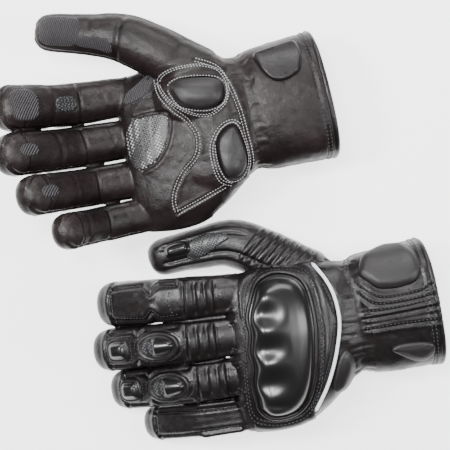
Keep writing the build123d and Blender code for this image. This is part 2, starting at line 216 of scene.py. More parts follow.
# ---- skeleton of a glove ----------------------------------------------------------------------------------------
class Bone:
    """A bent centre line with its lateral and upward directions; s is the distance from the first hinge."""

    def __init__(self, start, angle_at, frame_at, low, high, half_at, step=1.0):
        count = int((high - low) / step) + 1
        self.s = np.linspace(low, high, count)
        frames = [frame_at(angle_at(s)) for s in self.s]
        self.along = np.array([f @ np.array([-1.0, 0, 0]) for f in frames])
        self.side = np.array([f @ np.array([0, 1.0, 0]) for f in frames])
        self.up = np.array([f @ np.array([0, 0, 1.0]) for f in frames])
        gap = self.s[1] - self.s[0]
        place = np.cumsum((self.along + np.roll(self.along, 1, axis=0)) / 2 * gap, axis=0)
        zero = np.array([np.interp(0, self.s, place[:, k]) for k in range(3)])
        self.place = place - zero + np.array(start, float)
        self.half = np.array([half_at(s) for s in self.s])

    def at(self, values, s):
        return np.stack([np.interp(s, self.s, values[:, k]) for k in range(values.shape[1])], axis=-1)

    def local(self, points):
        """(s, t, h) of points: along, to the side and up."""
        near = np.zeros(len(points), int)
        best = np.full(len(points), 1e18)
        for i, c in enumerate(self.place):
            d = ((points - c) ** 2).sum(1)
            closer = d < best
            best[closer], near[closer] = d[closer], i
        off = points - self.place[near]
        s = self.s[near] + (off * self.along[near]).sum(1)
        return s, (off * self.side[near]).sum(1), (off * self.up[near]).sum(1)

    def rings(self):
        return [(self.place[i], self.side[i], self.up[i], *self.half[i]) for i in range(len(self.s))]


def end_share(s, total):
    """How much of its width a stall keeps near its rounded end."""
    u = max(0.0, (s - (total - DOME)) / DOME)
    return max(0.0, 1 - min(u, 0.9995) ** 2.5) ** (1 / 2.3)


def finger_bone(glove, name):
    finger = FINGERS[name]
    first = glove["knuckle"][name]
    both = first + glove["middle"][name]
    base, tip, fan = finger["base"], finger["tip"], glove["fan"][name]
    total = base + tip
    root, middle, end = finger["half"]

    def angle_at(s):
        a = first * float(smooth(-9, 9, s)) + (both - first) * float(smooth(base - 12, base + 12, s))
        return a + glove["bend"] * max(0.0, (s - base) / tip) ** 1.2

    def half_at(s):
        wide = np.interp(s, [-22, 0, base, base + 14, total - 14, total],
                         [root - 1, root, middle, middle - 0.3, end, end])
        thick = np.interp(s, [-22, 0, base, total - 20, total],
                          [root - 3.2, root - 1.2, middle - 0.7, end - 1.9, end - 3.0])
        share = end_share(s, total)
        return glove["slim"] * wide * share, thick * share

    start = (ROOT_X, finger["y"], finger["z"])
    return Bone(start, angle_at, lambda a: rot_y(-a) @ rot_z(-fan), -22, total, half_at)


def thumb_bone(glove):
    swing, flexion, pitch = glove["thumb"]
    total = THUMB_BASE + THUMB_TIP

    def angle_at(s):
        return swing - flexion * float(smooth(THUMB_BASE - 17, THUMB_BASE + 17, s))

    def half_at(s):
        stations = [-20, 0, 28, 52, 72, 96, total]
        wide = np.interp(s, stations, [13, 16.5, 17.0, 16.0, 13.6, 12.2, 11.6])
        thick = np.interp(s, stations, [11, 14.5, 14.5, 13.6, 12.2, 11.0, 8.8])
        share = end_share(s, total)
        return wide * share, thick * share

    return Bone(THUMB_ROOT, angle_at, lambda a: rot_z(-a) @ rot_y(-pitch), -20, total, half_at)


def section(centre, side, up, wide, thick, count=40, power=2.35, belly=None):
    """Points of a rounded section."""
    a = np.linspace(0, 2 * math.pi, count, endpoint=False)
    n = np.where(np.sin(a) >= 0, power, belly or power)
    c = np.sign(np.cos(a)) * np.abs(np.cos(a)) ** (2 / n)
    s = np.sign(np.sin(a)) * np.abs(np.sin(a)) ** (2 / n)
    return centre + np.outer(c * wide, side) + np.outer(s * thick, up)


def lofted(rings, count, closed=False):
    """Faces between rings of count points; a closed loft also joins its last ring to its first."""
    faces = []
    for i in range(rings if closed else rings - 1):
        j = (i + 1) % rings
        for k in range(count):
            m = (k + 1) % count
            faces.append((i * count + k, i * count + m, j * count + m, j * count + k))
    return faces


def facing(verts, faces, way):
    """The faces, all reversed if the first one looks against way."""
    a, b, c = (verts[i] for i in faces[0][:3])
    if np.dot(np.cross(b - a, c - a), way) < 0:
        return [tuple(reversed(f)) for f in faces]
    return faces


def tube(rings):
    """Vertices and faces of a closed tube through rings of equal count."""
    count = len(rings[0])
    verts = np.vstack(rings + [rings[0].mean(0)[None], rings[-1].mean(0)[None]])
    faces = lofted(len(rings), count)
    first, last = len(verts) - 2, len(verts) - 1
    top = (len(rings) - 1) * count
    for k in range(count):
        m = (k + 1) % count
        faces.append((first, m, k))
        faces.append((last, top + k, top + m))
    return verts, faces


class Glove:
    """One glove's skeleton, its smooth and detailed skins, and its way into the row frame."""

    def __init__(self, name):
        self.name = name
        self.data = GLOVES[name]
        self.rot = rot_z(self.data["turn"])
        self.flip = self.data["mirror"]
        self.cuff_rot = rot_y(self.data["wrist"]) @ rot_z(CUFF_SWING)
        joint = next(j for j in frame["joints"] if j["name"] == name + "_wrist")
        self.offset = np.zeros(3)
        self.offset = np.array(joint["pos_m"]) / MM - self.world(np.array([WRIST]))[0] / MM
        self.bones = {f: finger_bone(self.data, f) for f in FINGERS}
        self.thumb = thumb_bone(self.data)

    def world(self, points):
        """Glove frame in mm to the row frame in metres."""
        p = np.array(points, float)
        if self.flip:
            p = p * np.array([1, 1, -1])
        return (p @ self.rot.T + self.offset) * MM

    def cuff_place(self, local):
        return np.array(local, float) @ self.cuff_rot.T + np.array(WRIST)

    def cuff_local(self, points):
        return (points - np.array(WRIST)) @ self.cuff_rot

    def body(self, part):
        return self.name + "_" + part


def even_rings(rings, step=4.0):
    """More rings between the given ones, on smooth curves."""
    rings = np.array(rings)
    out = []
    for i in range(len(rings) - 1):
        a, b = rings[max(i - 1, 0)], rings[i]
        c, d = rings[i + 1], rings[min(i + 2, len(rings) - 1)]
        count = max(1, int(np.linalg.norm((c - b).mean(0)) / step))
        for k in range(count):
            t = k / count
            out.append(0.5 * (2 * b + (c - a) * t + (2 * a - 5 * b + 4 * c - d) * t * t
                              + (3 * b - a - 3 * c + d) * t ** 3))
    out.append(rings[-1])
    return out


def hand_and_cuff(glove):
    rings = [section(np.array([x, y, z]), np.array([0, 1, 0]), np.array([0, 0, 1]), wide / 2, thick / 2, 64, 2.5, 2.9)
             for x, wide, thick, y, z in HAND_SECTIONS]
    for s, wide, thick in CUFF_SECTIONS:
        centre = glove.cuff_place([s, 0, 0])
        side, up = glove.cuff_rot @ np.array([0, 1, 0]), glove.cuff_rot @ np.array([0, 0, 1])
        rings.append(section(centre, side, up, wide / 2, thick / 2, 64, 2.5, 2.6))
    return tube(even_rings(rings))


def heel_pads():
    """The fleshy heels of the palm as flattened balls."""
    pads = []
    for centre, size in (((38, 26, -14), (30, 20, 14)), ((42, -20, -12), (26, 18, 14))):
        rings = []
        for u in np.linspace(-0.98, 0.98, 15):
            r = math.sqrt(1 - u * u)
            rings.append(section(np.array(centre) + np.array([u * size[0], 0, 0]), np.array([0, 1, 0]),
                                 np.array([0, 0, 1]), size[1] * r, size[2] * r, 24, 2.0))
        pads.append(tube(rings))
    return pads


def mesh_of(name, verts, faces):
    mesh = bpy.data.meshes.new(name)
    mesh.from_pydata([tuple(v) for v in verts], [], [tuple(int(i) for i in f) for f in faces])
    mesh.update()
    return mesh


def applied(obj):
    """Vertices and quads or triangles of an object with its modifiers, then the object is removed."""
    bpy.context.view_layer.update()
    graph = bpy.context.evaluated_depsgraph_get()
    mesh = bpy.data.meshes.new_from_object(obj.evaluated_get(graph))
    count = len(mesh.vertices)
    verts = np.zeros(count * 3)
    mesh.vertices.foreach_get("co", verts)
    verts = verts.reshape(-1, 3)
    starts = np.zeros(len(mesh.polygons), int)
    totals = np.zeros(len(mesh.polygons), int)
    loops = np.zeros(len(mesh.loops), int)
    mesh.polygons.foreach_get("loop_start", starts)
    mesh.polygons.foreach_get("loop_total", totals)
    mesh.loops.foreach_get("vertex_index", loops)
    faces = [tuple(loops[a:a + n]) for a, n in zip(starts, totals)]
    old = obj.data
    bpy.data.objects.remove(obj)
    bpy.data.meshes.remove(old)
    bpy.data.meshes.remove(mesh)
    return verts, faces


def united(parts, voxel, smoothing):
    """One smooth skin round overlapping closed parts."""
    obj = bpy.data.objects.new("skin_work", mesh_of("skin_work", *joined(parts)))
    bpy.context.scene.collection.objects.link(obj)
    remesh = obj.modifiers.new("remesh", "REMESH")
    remesh.mode, remesh.voxel_size, remesh.adaptivity = "VOXEL", voxel, 0
    soften = obj.modifiers.new("smooth", "SMOOTH")
    soften.factor, soften.iterations = 0.5, smoothing
    return applied(obj)


def normals_of(verts, faces):
    quads = np.array([f if len(f) == 4 else (*f, f[2]) for f in faces])
    a, b, c, d = (verts[quads[:, k]] for k in range(4))
    n = np.cross(c - a, d - b)
    out = np.zeros_like(verts)
    for k in range(4):
        np.add.at(out, quads[:, k], n)
    return out / (np.linalg.norm(out, axis=1)[:, None] + 1e-12)


def value_noise(points, scale, seed):
    """Smooth random field between -1 and 1, from a lattice of random values."""
    rng = np.random.default_rng(seed)
    table = rng.uniform(-1, 1, (32, 32, 32))
    p = points / scale + 500.0
    i = np.floor(p).astype(int)
    f = p - i
    f = f * f * (3 - 2 * f)
    out = 0
    for dx in (0, 1):
        for dy in (0, 1):
            for dz in (0, 1):
                w = (np.where(dx, f[:, 0], 1 - f[:, 0]) * np.where(dy, f[:, 1], 1 - f[:, 1])
                     * np.where(dz, f[:, 2], 1 - f[:, 2]))
                out = out + w * table[(i[:, 0] + dx) % 32, (i[:, 1] + dy) % 32, (i[:, 2] + dz) % 32]
    return out


# ---- materials ------------------------------------------------------------------------------------------------
def material(name, colour, rough, build=None, **values):
    mat = bpy.data.materials.new(name)
    mat.use_nodes = True
    tree = mat.node_tree
    shader = tree.nodes["Principled BSDF"]
    shader.inputs["Base Color"].default_value = (*colour, 1)
    shader.inputs["Roughness"].default_value = rough
    for key, value in values.items():
        shader.inputs[key.replace("_", " ")].default_value = value
    if build:
        build(tree, shader)
    return mat


def node(tree, kind, **inputs):
    made = tree.nodes.new(kind)
    for key, value in inputs.items():
        if key in made.inputs:
            made.inputs[key].default_value = value
        else:
            setattr(made, key, value)
    return made


def place(tree):
    return node(tree, "ShaderNodeTexCoord").outputs["Object"]


def noise_at(tree, scale, detail=3.0, rough=0.5):
    made = node(tree, "ShaderNodeTexNoise", Scale=scale, Detail=detail, Roughness=rough)
    tree.links.new(place(tree), made.inputs["Vector"])
    return made.outputs["Fac"]


def ranged(tree, value, low, high, a, b):
    made = tree.nodes.new("ShaderNodeMapRange")
    made.inputs["From Min"].default_value, made.inputs["From Max"].default_value = a, b
    made.inputs["To Min"].default_value, made.inputs["To Max"].default_value = low, high
    tree.links.new(value, made.inputs["Value"])
    return made.outputs["Result"]


def mixed(tree, fac, a, b):
    made = tree.nodes.new("ShaderNodeMix")
    made.data_type = "RGBA"
    made.inputs["A"].default_value, made.inputs["B"].default_value = (*a, 1), (*b, 1)
    tree.links.new(fac, made.inputs["Factor"])
    return made.outputs["Result"]


def bumped(tree, shader, heights):
    """Chain of bumps: (height socket, distance in metres, strength)."""
    last = None
    for height, distance, strength in heights:
        made = node(tree, "ShaderNodeBump", Strength=strength, Distance=distance)
        tree.links.new(height, made.inputs["Height"])
        if last:
            tree.links.new(last, made.inputs["Normal"])
        last = made.outputs["Normal"]
    tree.links.new(last, shader.inputs["Normal"])


def grain(tree, scale):
    made = node(tree, "ShaderNodeTexVoronoi", Scale=scale, feature="DISTANCE_TO_EDGE")
    tree.links.new(place(tree), made.inputs["Vector"])
    return made.outputs["Distance"]


def rough_look(scale, detail, distance, strength):
    """One fine bump."""
    return lambda tree, shader: bumped(tree, shader, [(noise_at(tree, scale, detail), distance, strength)])


def turned_place(tree, degrees):
    made = tree.nodes.new("ShaderNodeMapping")
    made.inputs["Rotation"].default_value = (0, 0, math.radians(degrees))
    tree.links.new(place(tree), made.inputs["Vector"])
    return made.outputs["Vector"]


def leather_look(dark, light, low, high, crease=0.5):
    def build(tree, shader):
        patches = noise_at(tree, 38, 5, 0.6)
        tree.links.new(mixed(tree, ranged(tree, patches, 0, 1, 0.35, 0.68), dark, light), shader.inputs["Base Color"])
        fine = noise_at(tree, 260, 4, 0.6)
        tree.links.new(ranged(tree, fine, low, high, 0.3, 0.7), shader.inputs["Roughness"])
        creases = noise_at(tree, 95, 6, 0.62)
        bumped(tree, shader, [(creases, 0.0010, crease), (grain(tree, 950), 0.00022, 0.55)])
    return build


def ribbed_look(scale, turn):
    """Fine wavy ribs of a knitted grip cloth."""
    def build(tree, shader):
        wave = node(tree, "ShaderNodeTexWave", Scale=scale, Distortion=5.0, Detail=1.0)
        wave.inputs["Detail Scale"].default_value = 0.22
        tree.links.new(turned_place(tree, turn), wave.inputs["Vector"])
        tree.links.new(mixed(tree, wave.outputs["Fac"], (0.008, 0.007, 0.008), (0.060, 0.055, 0.060)),
                       shader.inputs["Base Color"])
        bumped(tree, shader, [(wave.outputs["Fac"], 0.0006, 0.9)])
    return build


def dotted_look(scale, base, dot, waves=True):
    """Cloth with rows of raised dots. Their lighter colour is a painted highlight on the dots, and the wave bands
    brighten it in stripes as a painted sheen.
    """
    def build(tree, shader):
        cells = node(tree, "ShaderNodeTexVoronoi", Scale=scale, Randomness=0.0)
        turned = turned_place(tree, 27)
        tree.links.new(turned, cells.inputs["Vector"])
        dots = ranged(tree, cells.outputs["Distance"], 1, 0, 0.30, 0.48)
        if waves:
            bands = node(tree, "ShaderNodeTexWave", Scale=17, Distortion=3.2, Detail=0.5)
            tree.links.new(turned, bands.inputs["Vector"])
            shine = ranged(tree, bands.outputs["Fac"], 0.10, 1.0, 0.35, 0.65)
            both = node(tree, "ShaderNodeMath", operation="MULTIPLY")
            tree.links.new(dots, both.inputs[0])
            tree.links.new(shine, both.inputs[1])
            fac = both.outputs[0]
        else:
            fac = dots
        # painted highlight: the raised dots are coloured lighter, with the painted sheen of the bands when waves is
        # on
        tree.links.new(mixed(tree, fac, base, dot), shader.inputs["Base Color"])
        bumped(tree, shader, [(dots, 0.0005, 0.9)])
    return build


def leather(name, dark, light, low, high, crease, **values):
    return material(name, (0.02, 0.018, 0.02), 0.4, leather_look(dark, light, low, high, crease), **values)


THREAD_BUMP = rough_look(2500, 2, 0.0001, 0.6)
LEATHER = leather("leather", (0.0045, 0.0034, 0.0036), (0.0120, 0.0092, 0.0096), 0.26, 0.42, 0.40,
                  Specular_IOR_Level=0.42)
PALM_LEATHER = leather("palm_leather", (0.0055, 0.0032, 0.0033), (0.0170, 0.0108, 0.0110), 0.32, 0.50, 0.6,
                       Specular_IOR_Level=0.32)
PAD_LEATHER = leather("pad_leather", (0.0085, 0.0070, 0.0076), (0.0140, 0.0118, 0.0126), 0.38, 0.50, 0.10)
SHELL = material("hard_shell", (0.0065, 0.0058, 0.0060), 0.29, rough_look(320, 2, 0.00002, 0.25),
                 Coat_Weight=0.25, Coat_Roughness=0.16)
THREAD = material("thread", (0.045, 0.047, 0.054), 0.5, THREAD_BUMP)
LIGHT_THREAD = material("light_thread", (0.42, 0.42, 0.43), 0.6, THREAD_BUMP)
# piping: white cloth with a painted glow; its emission stands in for the light that the reflective cord throws back
PIPING_PAINTED_GLOW = material("reflective", (0.82, 0.84, 0.87), 0.35, rough_look(1500, 2, 0.00012, 0.4),
                  Emission_Color=(0.8, 0.84, 0.9, 1), Emission_Strength=0.35)
RIBBED = material("ribbed_cloth", (0.03, 0.03, 0.03), 0.6, ribbed_look(255, 20))
# dotted cloth and carbon mesh: the lighter dot colours are painted highlights on their raised dots
DOTTED = material("dotted_cloth", (0.1, 0.1, 0.1), 0.4, dotted_look(560, (0.014, 0.013, 0.014), (0.42, 0.42, 0.43)))
CARBON = material("carbon_mesh", (0.05, 0.05, 0.05), 0.33,
                  dotted_look(620, (0.012, 0.012, 0.013), (0.085, 0.09, 0.095), False))
LINING = material("lining_knit", (0.02, 0.02, 0.022), 0.9,
                  lambda tree, shader: bumped(tree, shader, [(grain(tree, 1400), 0.0004, 0.8)]))
HOOKS = material("hook_and_loop", (0.012, 0.012, 0.013), 0.95, rough_look(1800, 3, 0.0008, 1.0))


# ---- pieces ------------------------------------------------------------------------------------------------------
def shown(glove, name, verts, faces, mats, mat_index=None, normals=None):
    """A piece of the glove, in the row frame."""
    if glove.flip:
        faces = [tuple(reversed(f)) for f in faces]
    mesh = mesh_of(glove.body(name), glove.world(verts), faces)
    for mat in mats:
        mesh.materials.append(mat)
    if mat_index is not None:
        mesh.polygons.foreach_set("material_index", mat_index)
    mesh.polygons.foreach_set("use_smooth", [True] * len(mesh.polygons))
    if normals is not None:
        n = normals * (np.array([1, 1, -1]) if glove.flip else 1)
        mesh.normals_split_custom_set_from_vertices([tuple(v) for v in n @ glove.rot.T])
    obj = bpy.data.objects.new(glove.body(name), mesh)
    bpy.context.scene.collection.objects.link(obj)
    return obj


class Chart:
    """A way to lay 2-D outlines on a skin: rays(u, v) gives where each point's ray starts and where it heads."""

    def __init__(self, rays):
        self.rays = rays

    def onto(self, tree, points):
        places, normals = [], []
        starts, ways = self.rays(np.array(points, float))
        for a, d in zip(starts, ways):
            hit, normal, _, _ = tree.ray_cast(Vector(a), Vector(d))
            if hit is None:
                hit, normal, _, _ = tree.find_nearest(Vector(a + d * 30))
            if normal.dot(Vector(d)) > 0:
                normal = -normal
            places.append(hit)
            normals.append(normal)
        return np.array(places), np.array(normals)


def flat_chart(under=False, reach=60.0):
    """Outlines laid straight down on the back of the hand, or up on its palm."""
    up = np.array([0, 0, -1.0 if under else 1.0])

    def rays(p):
        starts = np.column_stack([p[:, 0], p[:, 1], np.zeros(len(p))]) + up * reach
        return starts, np.repeat(-up[None], len(p), axis=0)
    return Chart(rays)


def bone_chart(bone, under=False, roll=0.0):
    """Outlines laid on a finger: along it from its first hinge, and across it."""
    sign = -1 if under else 1
    a = math.radians(roll)

    def rays(p):
        s, t = p[:, 0], p[:, 1]
        c, side, up = bone.at(bone.place, s), bone.at(bone.side, s), bone.at(bone.up, s)
        way = sign * (up * math.cos(a) + side * math.sin(a))
        across = side * math.cos(a) - up * math.sin(a)
        return c + across * t[:, None] + way * 30, -way
    return Chart(rays)


def patch(glove, chart, outline, height, rings=12, count=72, sink=1.0, tree=None, relax=6):
    """A raised piece over an outline: height(d, u, v) in mm, where d is the distance from the outline."""
    rim = resampled(outline, count=count, closed=True)
    centre = rim.mean(0)
    shares = np.array([1.0] + [1 - (k / rings) ** 1.7 for k in range(1, rings)] + [0.004])
    points = centre + (rim - centre)[None] * shares[:, None, None]
    flat = points.reshape(-1, 2)
    places, normals = chart.onto(tree or glove.smooth_tree, flat)
    starts, ways = chart.rays(flat)
    depth = ((places - starts) * ways).sum(1).reshape(len(shares), count)
    normals = normals.reshape(len(shares), count, 3)
    for _ in range(relax):
        depth[1:-1] = (depth[1:-1] * 2 + depth[:-2] + depth[2:] + np.roll(depth, 1, 1)[1:-1]
                       + np.roll(depth, -1, 1)[1:-1]) / 6
        depth[-1] = depth[-2].mean()
        normals[:-1] = (normals[:-1] * 2 + np.roll(normals, 1, 1)[:-1] + np.roll(normals, -1, 1)[:-1]
                        + normals[1:]) / 5
        normals[-1] = normals[-2].mean(0)
    normals = (normals / (np.linalg.norm(normals, axis=2)[..., None] + 1e-12)).reshape(-1, 3)
    places = starts + ways * depth.reshape(-1, 1)
    raised = height(line_distance(flat, ended(rim)), flat[:, 0], flat[:, 1])
    tall = (places + normals * np.reshape(raised, (-1, 1))).reshape(len(shares), count, 3)
    low = places.reshape(tall.shape)[0] - normals.reshape(tall.shape)[0] * sink
    top, normal = tall[-1].mean(0)[None], normals.reshape(tall.shape)[-1].mean(0)[None]
    bottom = top - normal * (sink + float(np.max(raised)))
    verts = np.vstack([low, *tall, top, bottom])
    faces = lofted(len(shares) + 1, count)
    last = len(shares) * count
    for k in range(count):
        m = (k + 1) % count
        faces.append((last + k, last + m, len(verts) - 2))
        faces.append((m, k, len(verts) - 1))
    a, b, c = (verts[i] for i in faces[-2])
    if np.dot(np.cross(b - a, c - a), chart.rays(centre[None])[1][0]) > 0:
        faces = [tuple(reversed(f)) for f in faces]
    return verts, faces


def arch(x):
    """A quarter circle's rise from 0 to 1."""
    return np.sqrt(np.clip(1 - (1 - np.clip(x, 0, 1)) ** 2, 0, 1))


def dome(rim_height, crown, edge, run):
    """Height of a pad: a rounded rim, then a slow rise to its crown."""
    return lambda d, u, v: rim_height * arch(d / edge) + (crown - rim_height) * smooth(0, run, d)


def plate(tall, edge=1.0, base=0.0):
    """Height of a flat piece with a soft rim."""
    return lambda d, u, v: base + tall * smooth(0, edge, d)


def joined(items):
    verts, faces, base = [], [], 0
    for v, f in items:
        verts.append(v)
        faces += [tuple(i + base for i in face) for face in f]
        base += len(v)
    return np.vstack(verts), faces


def cord_along(places, normals, radius, sides=8, lift=0.3, closed=False, flat=1.0):
    """A round cord laid on a skin."""
    n = len(places)
    if closed:
        tangent = np.roll(places, -1, axis=0) - np.roll(places, 1, axis=0)
    else:
        tangent = np.gradient(places, axis=0)
    tangent /= np.linalg.norm(tangent, axis=1)[:, None] + 1e-12
    side = np.cross(tangent, normals)
    side /= np.linalg.norm(side, axis=1)[:, None] + 1e-12
    up = np.cross(side, tangent)
    rings = []
    for i in range(n):
        a = np.linspace(0, 2 * math.pi, sides, endpoint=False)
        r = radius * (0.35 if not closed and i in (0, n - 1) else 1.0)
        rings.append(places[i] + up[i] * radius * lift + np.outer(np.cos(a) * r, side[i])
                     + np.outer(np.sin(a) * r * flat, up[i]))
    verts = np.vstack(rings)
    faces = lofted(n, sides, closed)
    if not closed:
        faces.append(tuple(range(sides - 1, -1, -1)))
        faces.append(tuple((n - 1) * sides + k for k in range(sides)))
    return verts, faces


def stitches(chart, tree, line, pitch=2.6, length=1.7, width=0.42, closed=False, lift=0.12):
    """A row of stitches along a line in a chart."""
    dense = resampled(line, pitch=0.8, closed=closed)
    places, normals = chart.onto(tree, dense)
    steps = np.linalg.norm(np.diff(places, axis=0), axis=1)
    run = np.concatenate([[0], np.cumsum(steps)])
    verts, faces = [], []
    count = int(run[-1] / pitch)
    for i in range(count):
        s0 = (i + 0.5) * pitch
        ends = [np.array([np.interp(s0 + k * length / 2, run, places[:, a]) for a in range(3)]) for k in (-1, 0, 1)]
        n = np.array([np.interp(s0, run, normals[:, a]) for a in range(3)])
        n /= np.linalg.norm(n) + 1e-12
        t = ends[2] - ends[0]
        if np.linalg.norm(t) < 0.3 * length or np.linalg.norm(t) > 1.6 * length:
            continue
        t /= np.linalg.norm(t)
        b = np.cross(n, t)
        base = len(verts)
        for k, w in ((0, 0.45), (1, 1.0), (2, 0.45)):
            c = ends[k] + n * lift
            verts += [c - b * width * w, c + n * (width * 0.9 * (1 if k == 1 else 0.35)), c + b * width * w,
                      c - n * 0.25]
        for r in (0, 1):
            for k in range(4):
                m = (k + 1) % 4
                faces.append((base + r * 4 + k, base + (r + 1) * 4 + k, base + (r + 1) * 4 + m, base + r * 4 + m))
        faces.append((base, base + 1, base + 2, base + 3))
        faces.append((base + 11, base + 10, base + 9, base + 8))
    return np.array(verts).reshape(-1, 3), faces


SMALL_STITCH = (1.9, 1.25, 0.40)    # pitch, length and width
FINGER_STITCH = (2.3, 1.5, 0.38)
SLIDER_STITCH = (1.9, 1.2, 0.34)


# ---- layout of the back and the palm, mm in the glove frame ---------------------------------------------------
GUARD = [(20, 46), (33, 43), (39.5, 34), (41.5, 16), (40.5, -2), (37, -22), (31, -36), (22, -43), (9, -44),
         (1.5, -38), (0, -30), (-1.2, -21), (0.4, -11), (-0.8, -1), (1.0, 10), (0.2, 20), (3.5, 31), (9, 42)]
GUARD_SEAM = [(15, 50.5), (30, 50), (41, 45), (45, 34), (46.5, 14), (45.5, -3), (41, -27), (32, -44), (20, -49),
              (7, -49), (-4, -44), (-6, -28), (-5, -2), (-3, 18), (0, 37), (6, 46)]
BUMPS = (33.0, 11.5, -10.0, -31.5)
BUMP_PITCH = 21.5
PIPING_LINE = [(36, -44), (44, -31), (50, -18), (55, -3), (58, 12), (57, 27), (53, 39), (46, 50)]
LOOPS = [(-13.5, 23.4), (-13.5, -4.4), (-13.5, -30.5)]   # middles of the loops between the knuckles
SLIDER_ONE = [(24.5, 35), (32, 38.5), (51, 36), (56.5, 29), (54, 21), (44, 18), (31, 21.5), (26, 28)]
SLIDER_TWO = [(47.5, -5), (53.5, 2), (60, 3), (63, -5), (64, -18), (59, -27), (51, -28), (47, -19)]
PALM_CURVE = [(15, 43), (16, 32), (22.5, 21), (31, 12), (35.5, 1), (32.5, -11), (22.5, -20), (15.5, -30), (13, -38),
              (14, -45)]
PALM_WRIST = [(42, 50), (55, 43), (61, 31), (65, 14.5), (66.5, 0), (67.5, -19), (64, -28)]
PALM_HEEL = [(14, -45), (29, -40), (48, -33)]
SLIDER_ONE_LOOP = [(16.5, 41), (26, 46), (44, 46), (56, 41), (60, 32), (57.5, 21), (48, 14), (38, 14.5), (28, 20),
                   (20, 29)]
SLIDER_TWO_LOOP = [(52, -33), (45, -29), (42.5, -18), (43.5, -6), (50.5, 4), (59, 7), (64, 3)]
GRIP = [(-11, 6), (-10, 13), (-4, 20), (12, 21), (20, 18), (17, 3), (8, -9), (-2, -13.5), (-9, -13), (-11, -4)]
# seams on top of each finger: distance past the middle hinge, share of the half width
PANEL_SEAMS = {
    "index": [(1, 0.74), (12, 0.80), (17, 0.40), (23, 0.78), (36, 0.74), (46, 0.66)],
    "middle": [(1, 0.80), (24, 0.82), (28, 0.50), (32, 0.78), (50, 0.72)],
    "ring": [(1, 0.80), (24, 0.82), (28, 0.50), (32, 0.78), (47, 0.72)],
    "little": [(-24, 0.60), (4, 0.62), (14, 0.70), (30, 0.66)],
}


def widths(bone, s, low_wide, low_thick):
    """Half width and half thickness along a bone, never less than the given ones."""
    return (np.interp(s, bone.s, np.maximum(bone.half[:, 0], low_wide)),
            np.interp(s, bone.s, np.maximum(bone.half[:, 1], low_thick)))


def radial(bone, s, t, h):
    wide, thick = widths(bone, s, 6, 5)
    return (t / wide) ** 2 + (h / thick) ** 2


def finger_label(glove, verts):
    """Which piece each vertex belongs to, with its place along the bones."""
    locals_ = {name: bone.local(verts) for name, bone in glove.bones.items()}
    thumb = glove.thumb.local(verts)
    stack = np.stack([radial(bone, *locals_[name]) + np.where(locals_[name][0] < -8, 50.0, 0.0)
                      for name, bone in glove.bones.items()])
    best = stack.argmin(0)
    value = stack.min(0)
    shear = 0.9978 * verts[:, 1] - 0.0665 * verts[:, 0]
    label = np.full(len(verts), -1)
    finger = (value < 40) & (verts[:, 0] < -2)
    label[finger] = best[finger]
    is_thumb = (shear > THUMB_EDGE) & (verts[:, 0] < 56)
    near_thumb = radial(glove.thumb, *thumb) < np.where(finger, value, 99)
    label[is_thumb & (near_thumb | ~finger)] = 4
    return label, locals_, thumb, shear


def sharp(d, width, depth):
    return -depth * bell(d, width)


def seam(d, width, depth, puff, off, spread):
    """A sewn line: a groove, with the leather puffed beside it."""
    return sharp(d, width, depth) + puff * bell(np.abs(d) - off, spread)


def accordion(s, start, end, count, height):
    """Rolls of padded leather across a flex panel."""
    inside_ = smooth(start - 0.6, start + 0.6, s) * (1 - smooth(end - 0.6, end + 0.6, s))
    phase = (s - start) / (end - start) * count
    roll = np.abs(np.sin(math.pi * phase)) ** 0.55
    return inside_ * (height * roll - 0.5 * height)


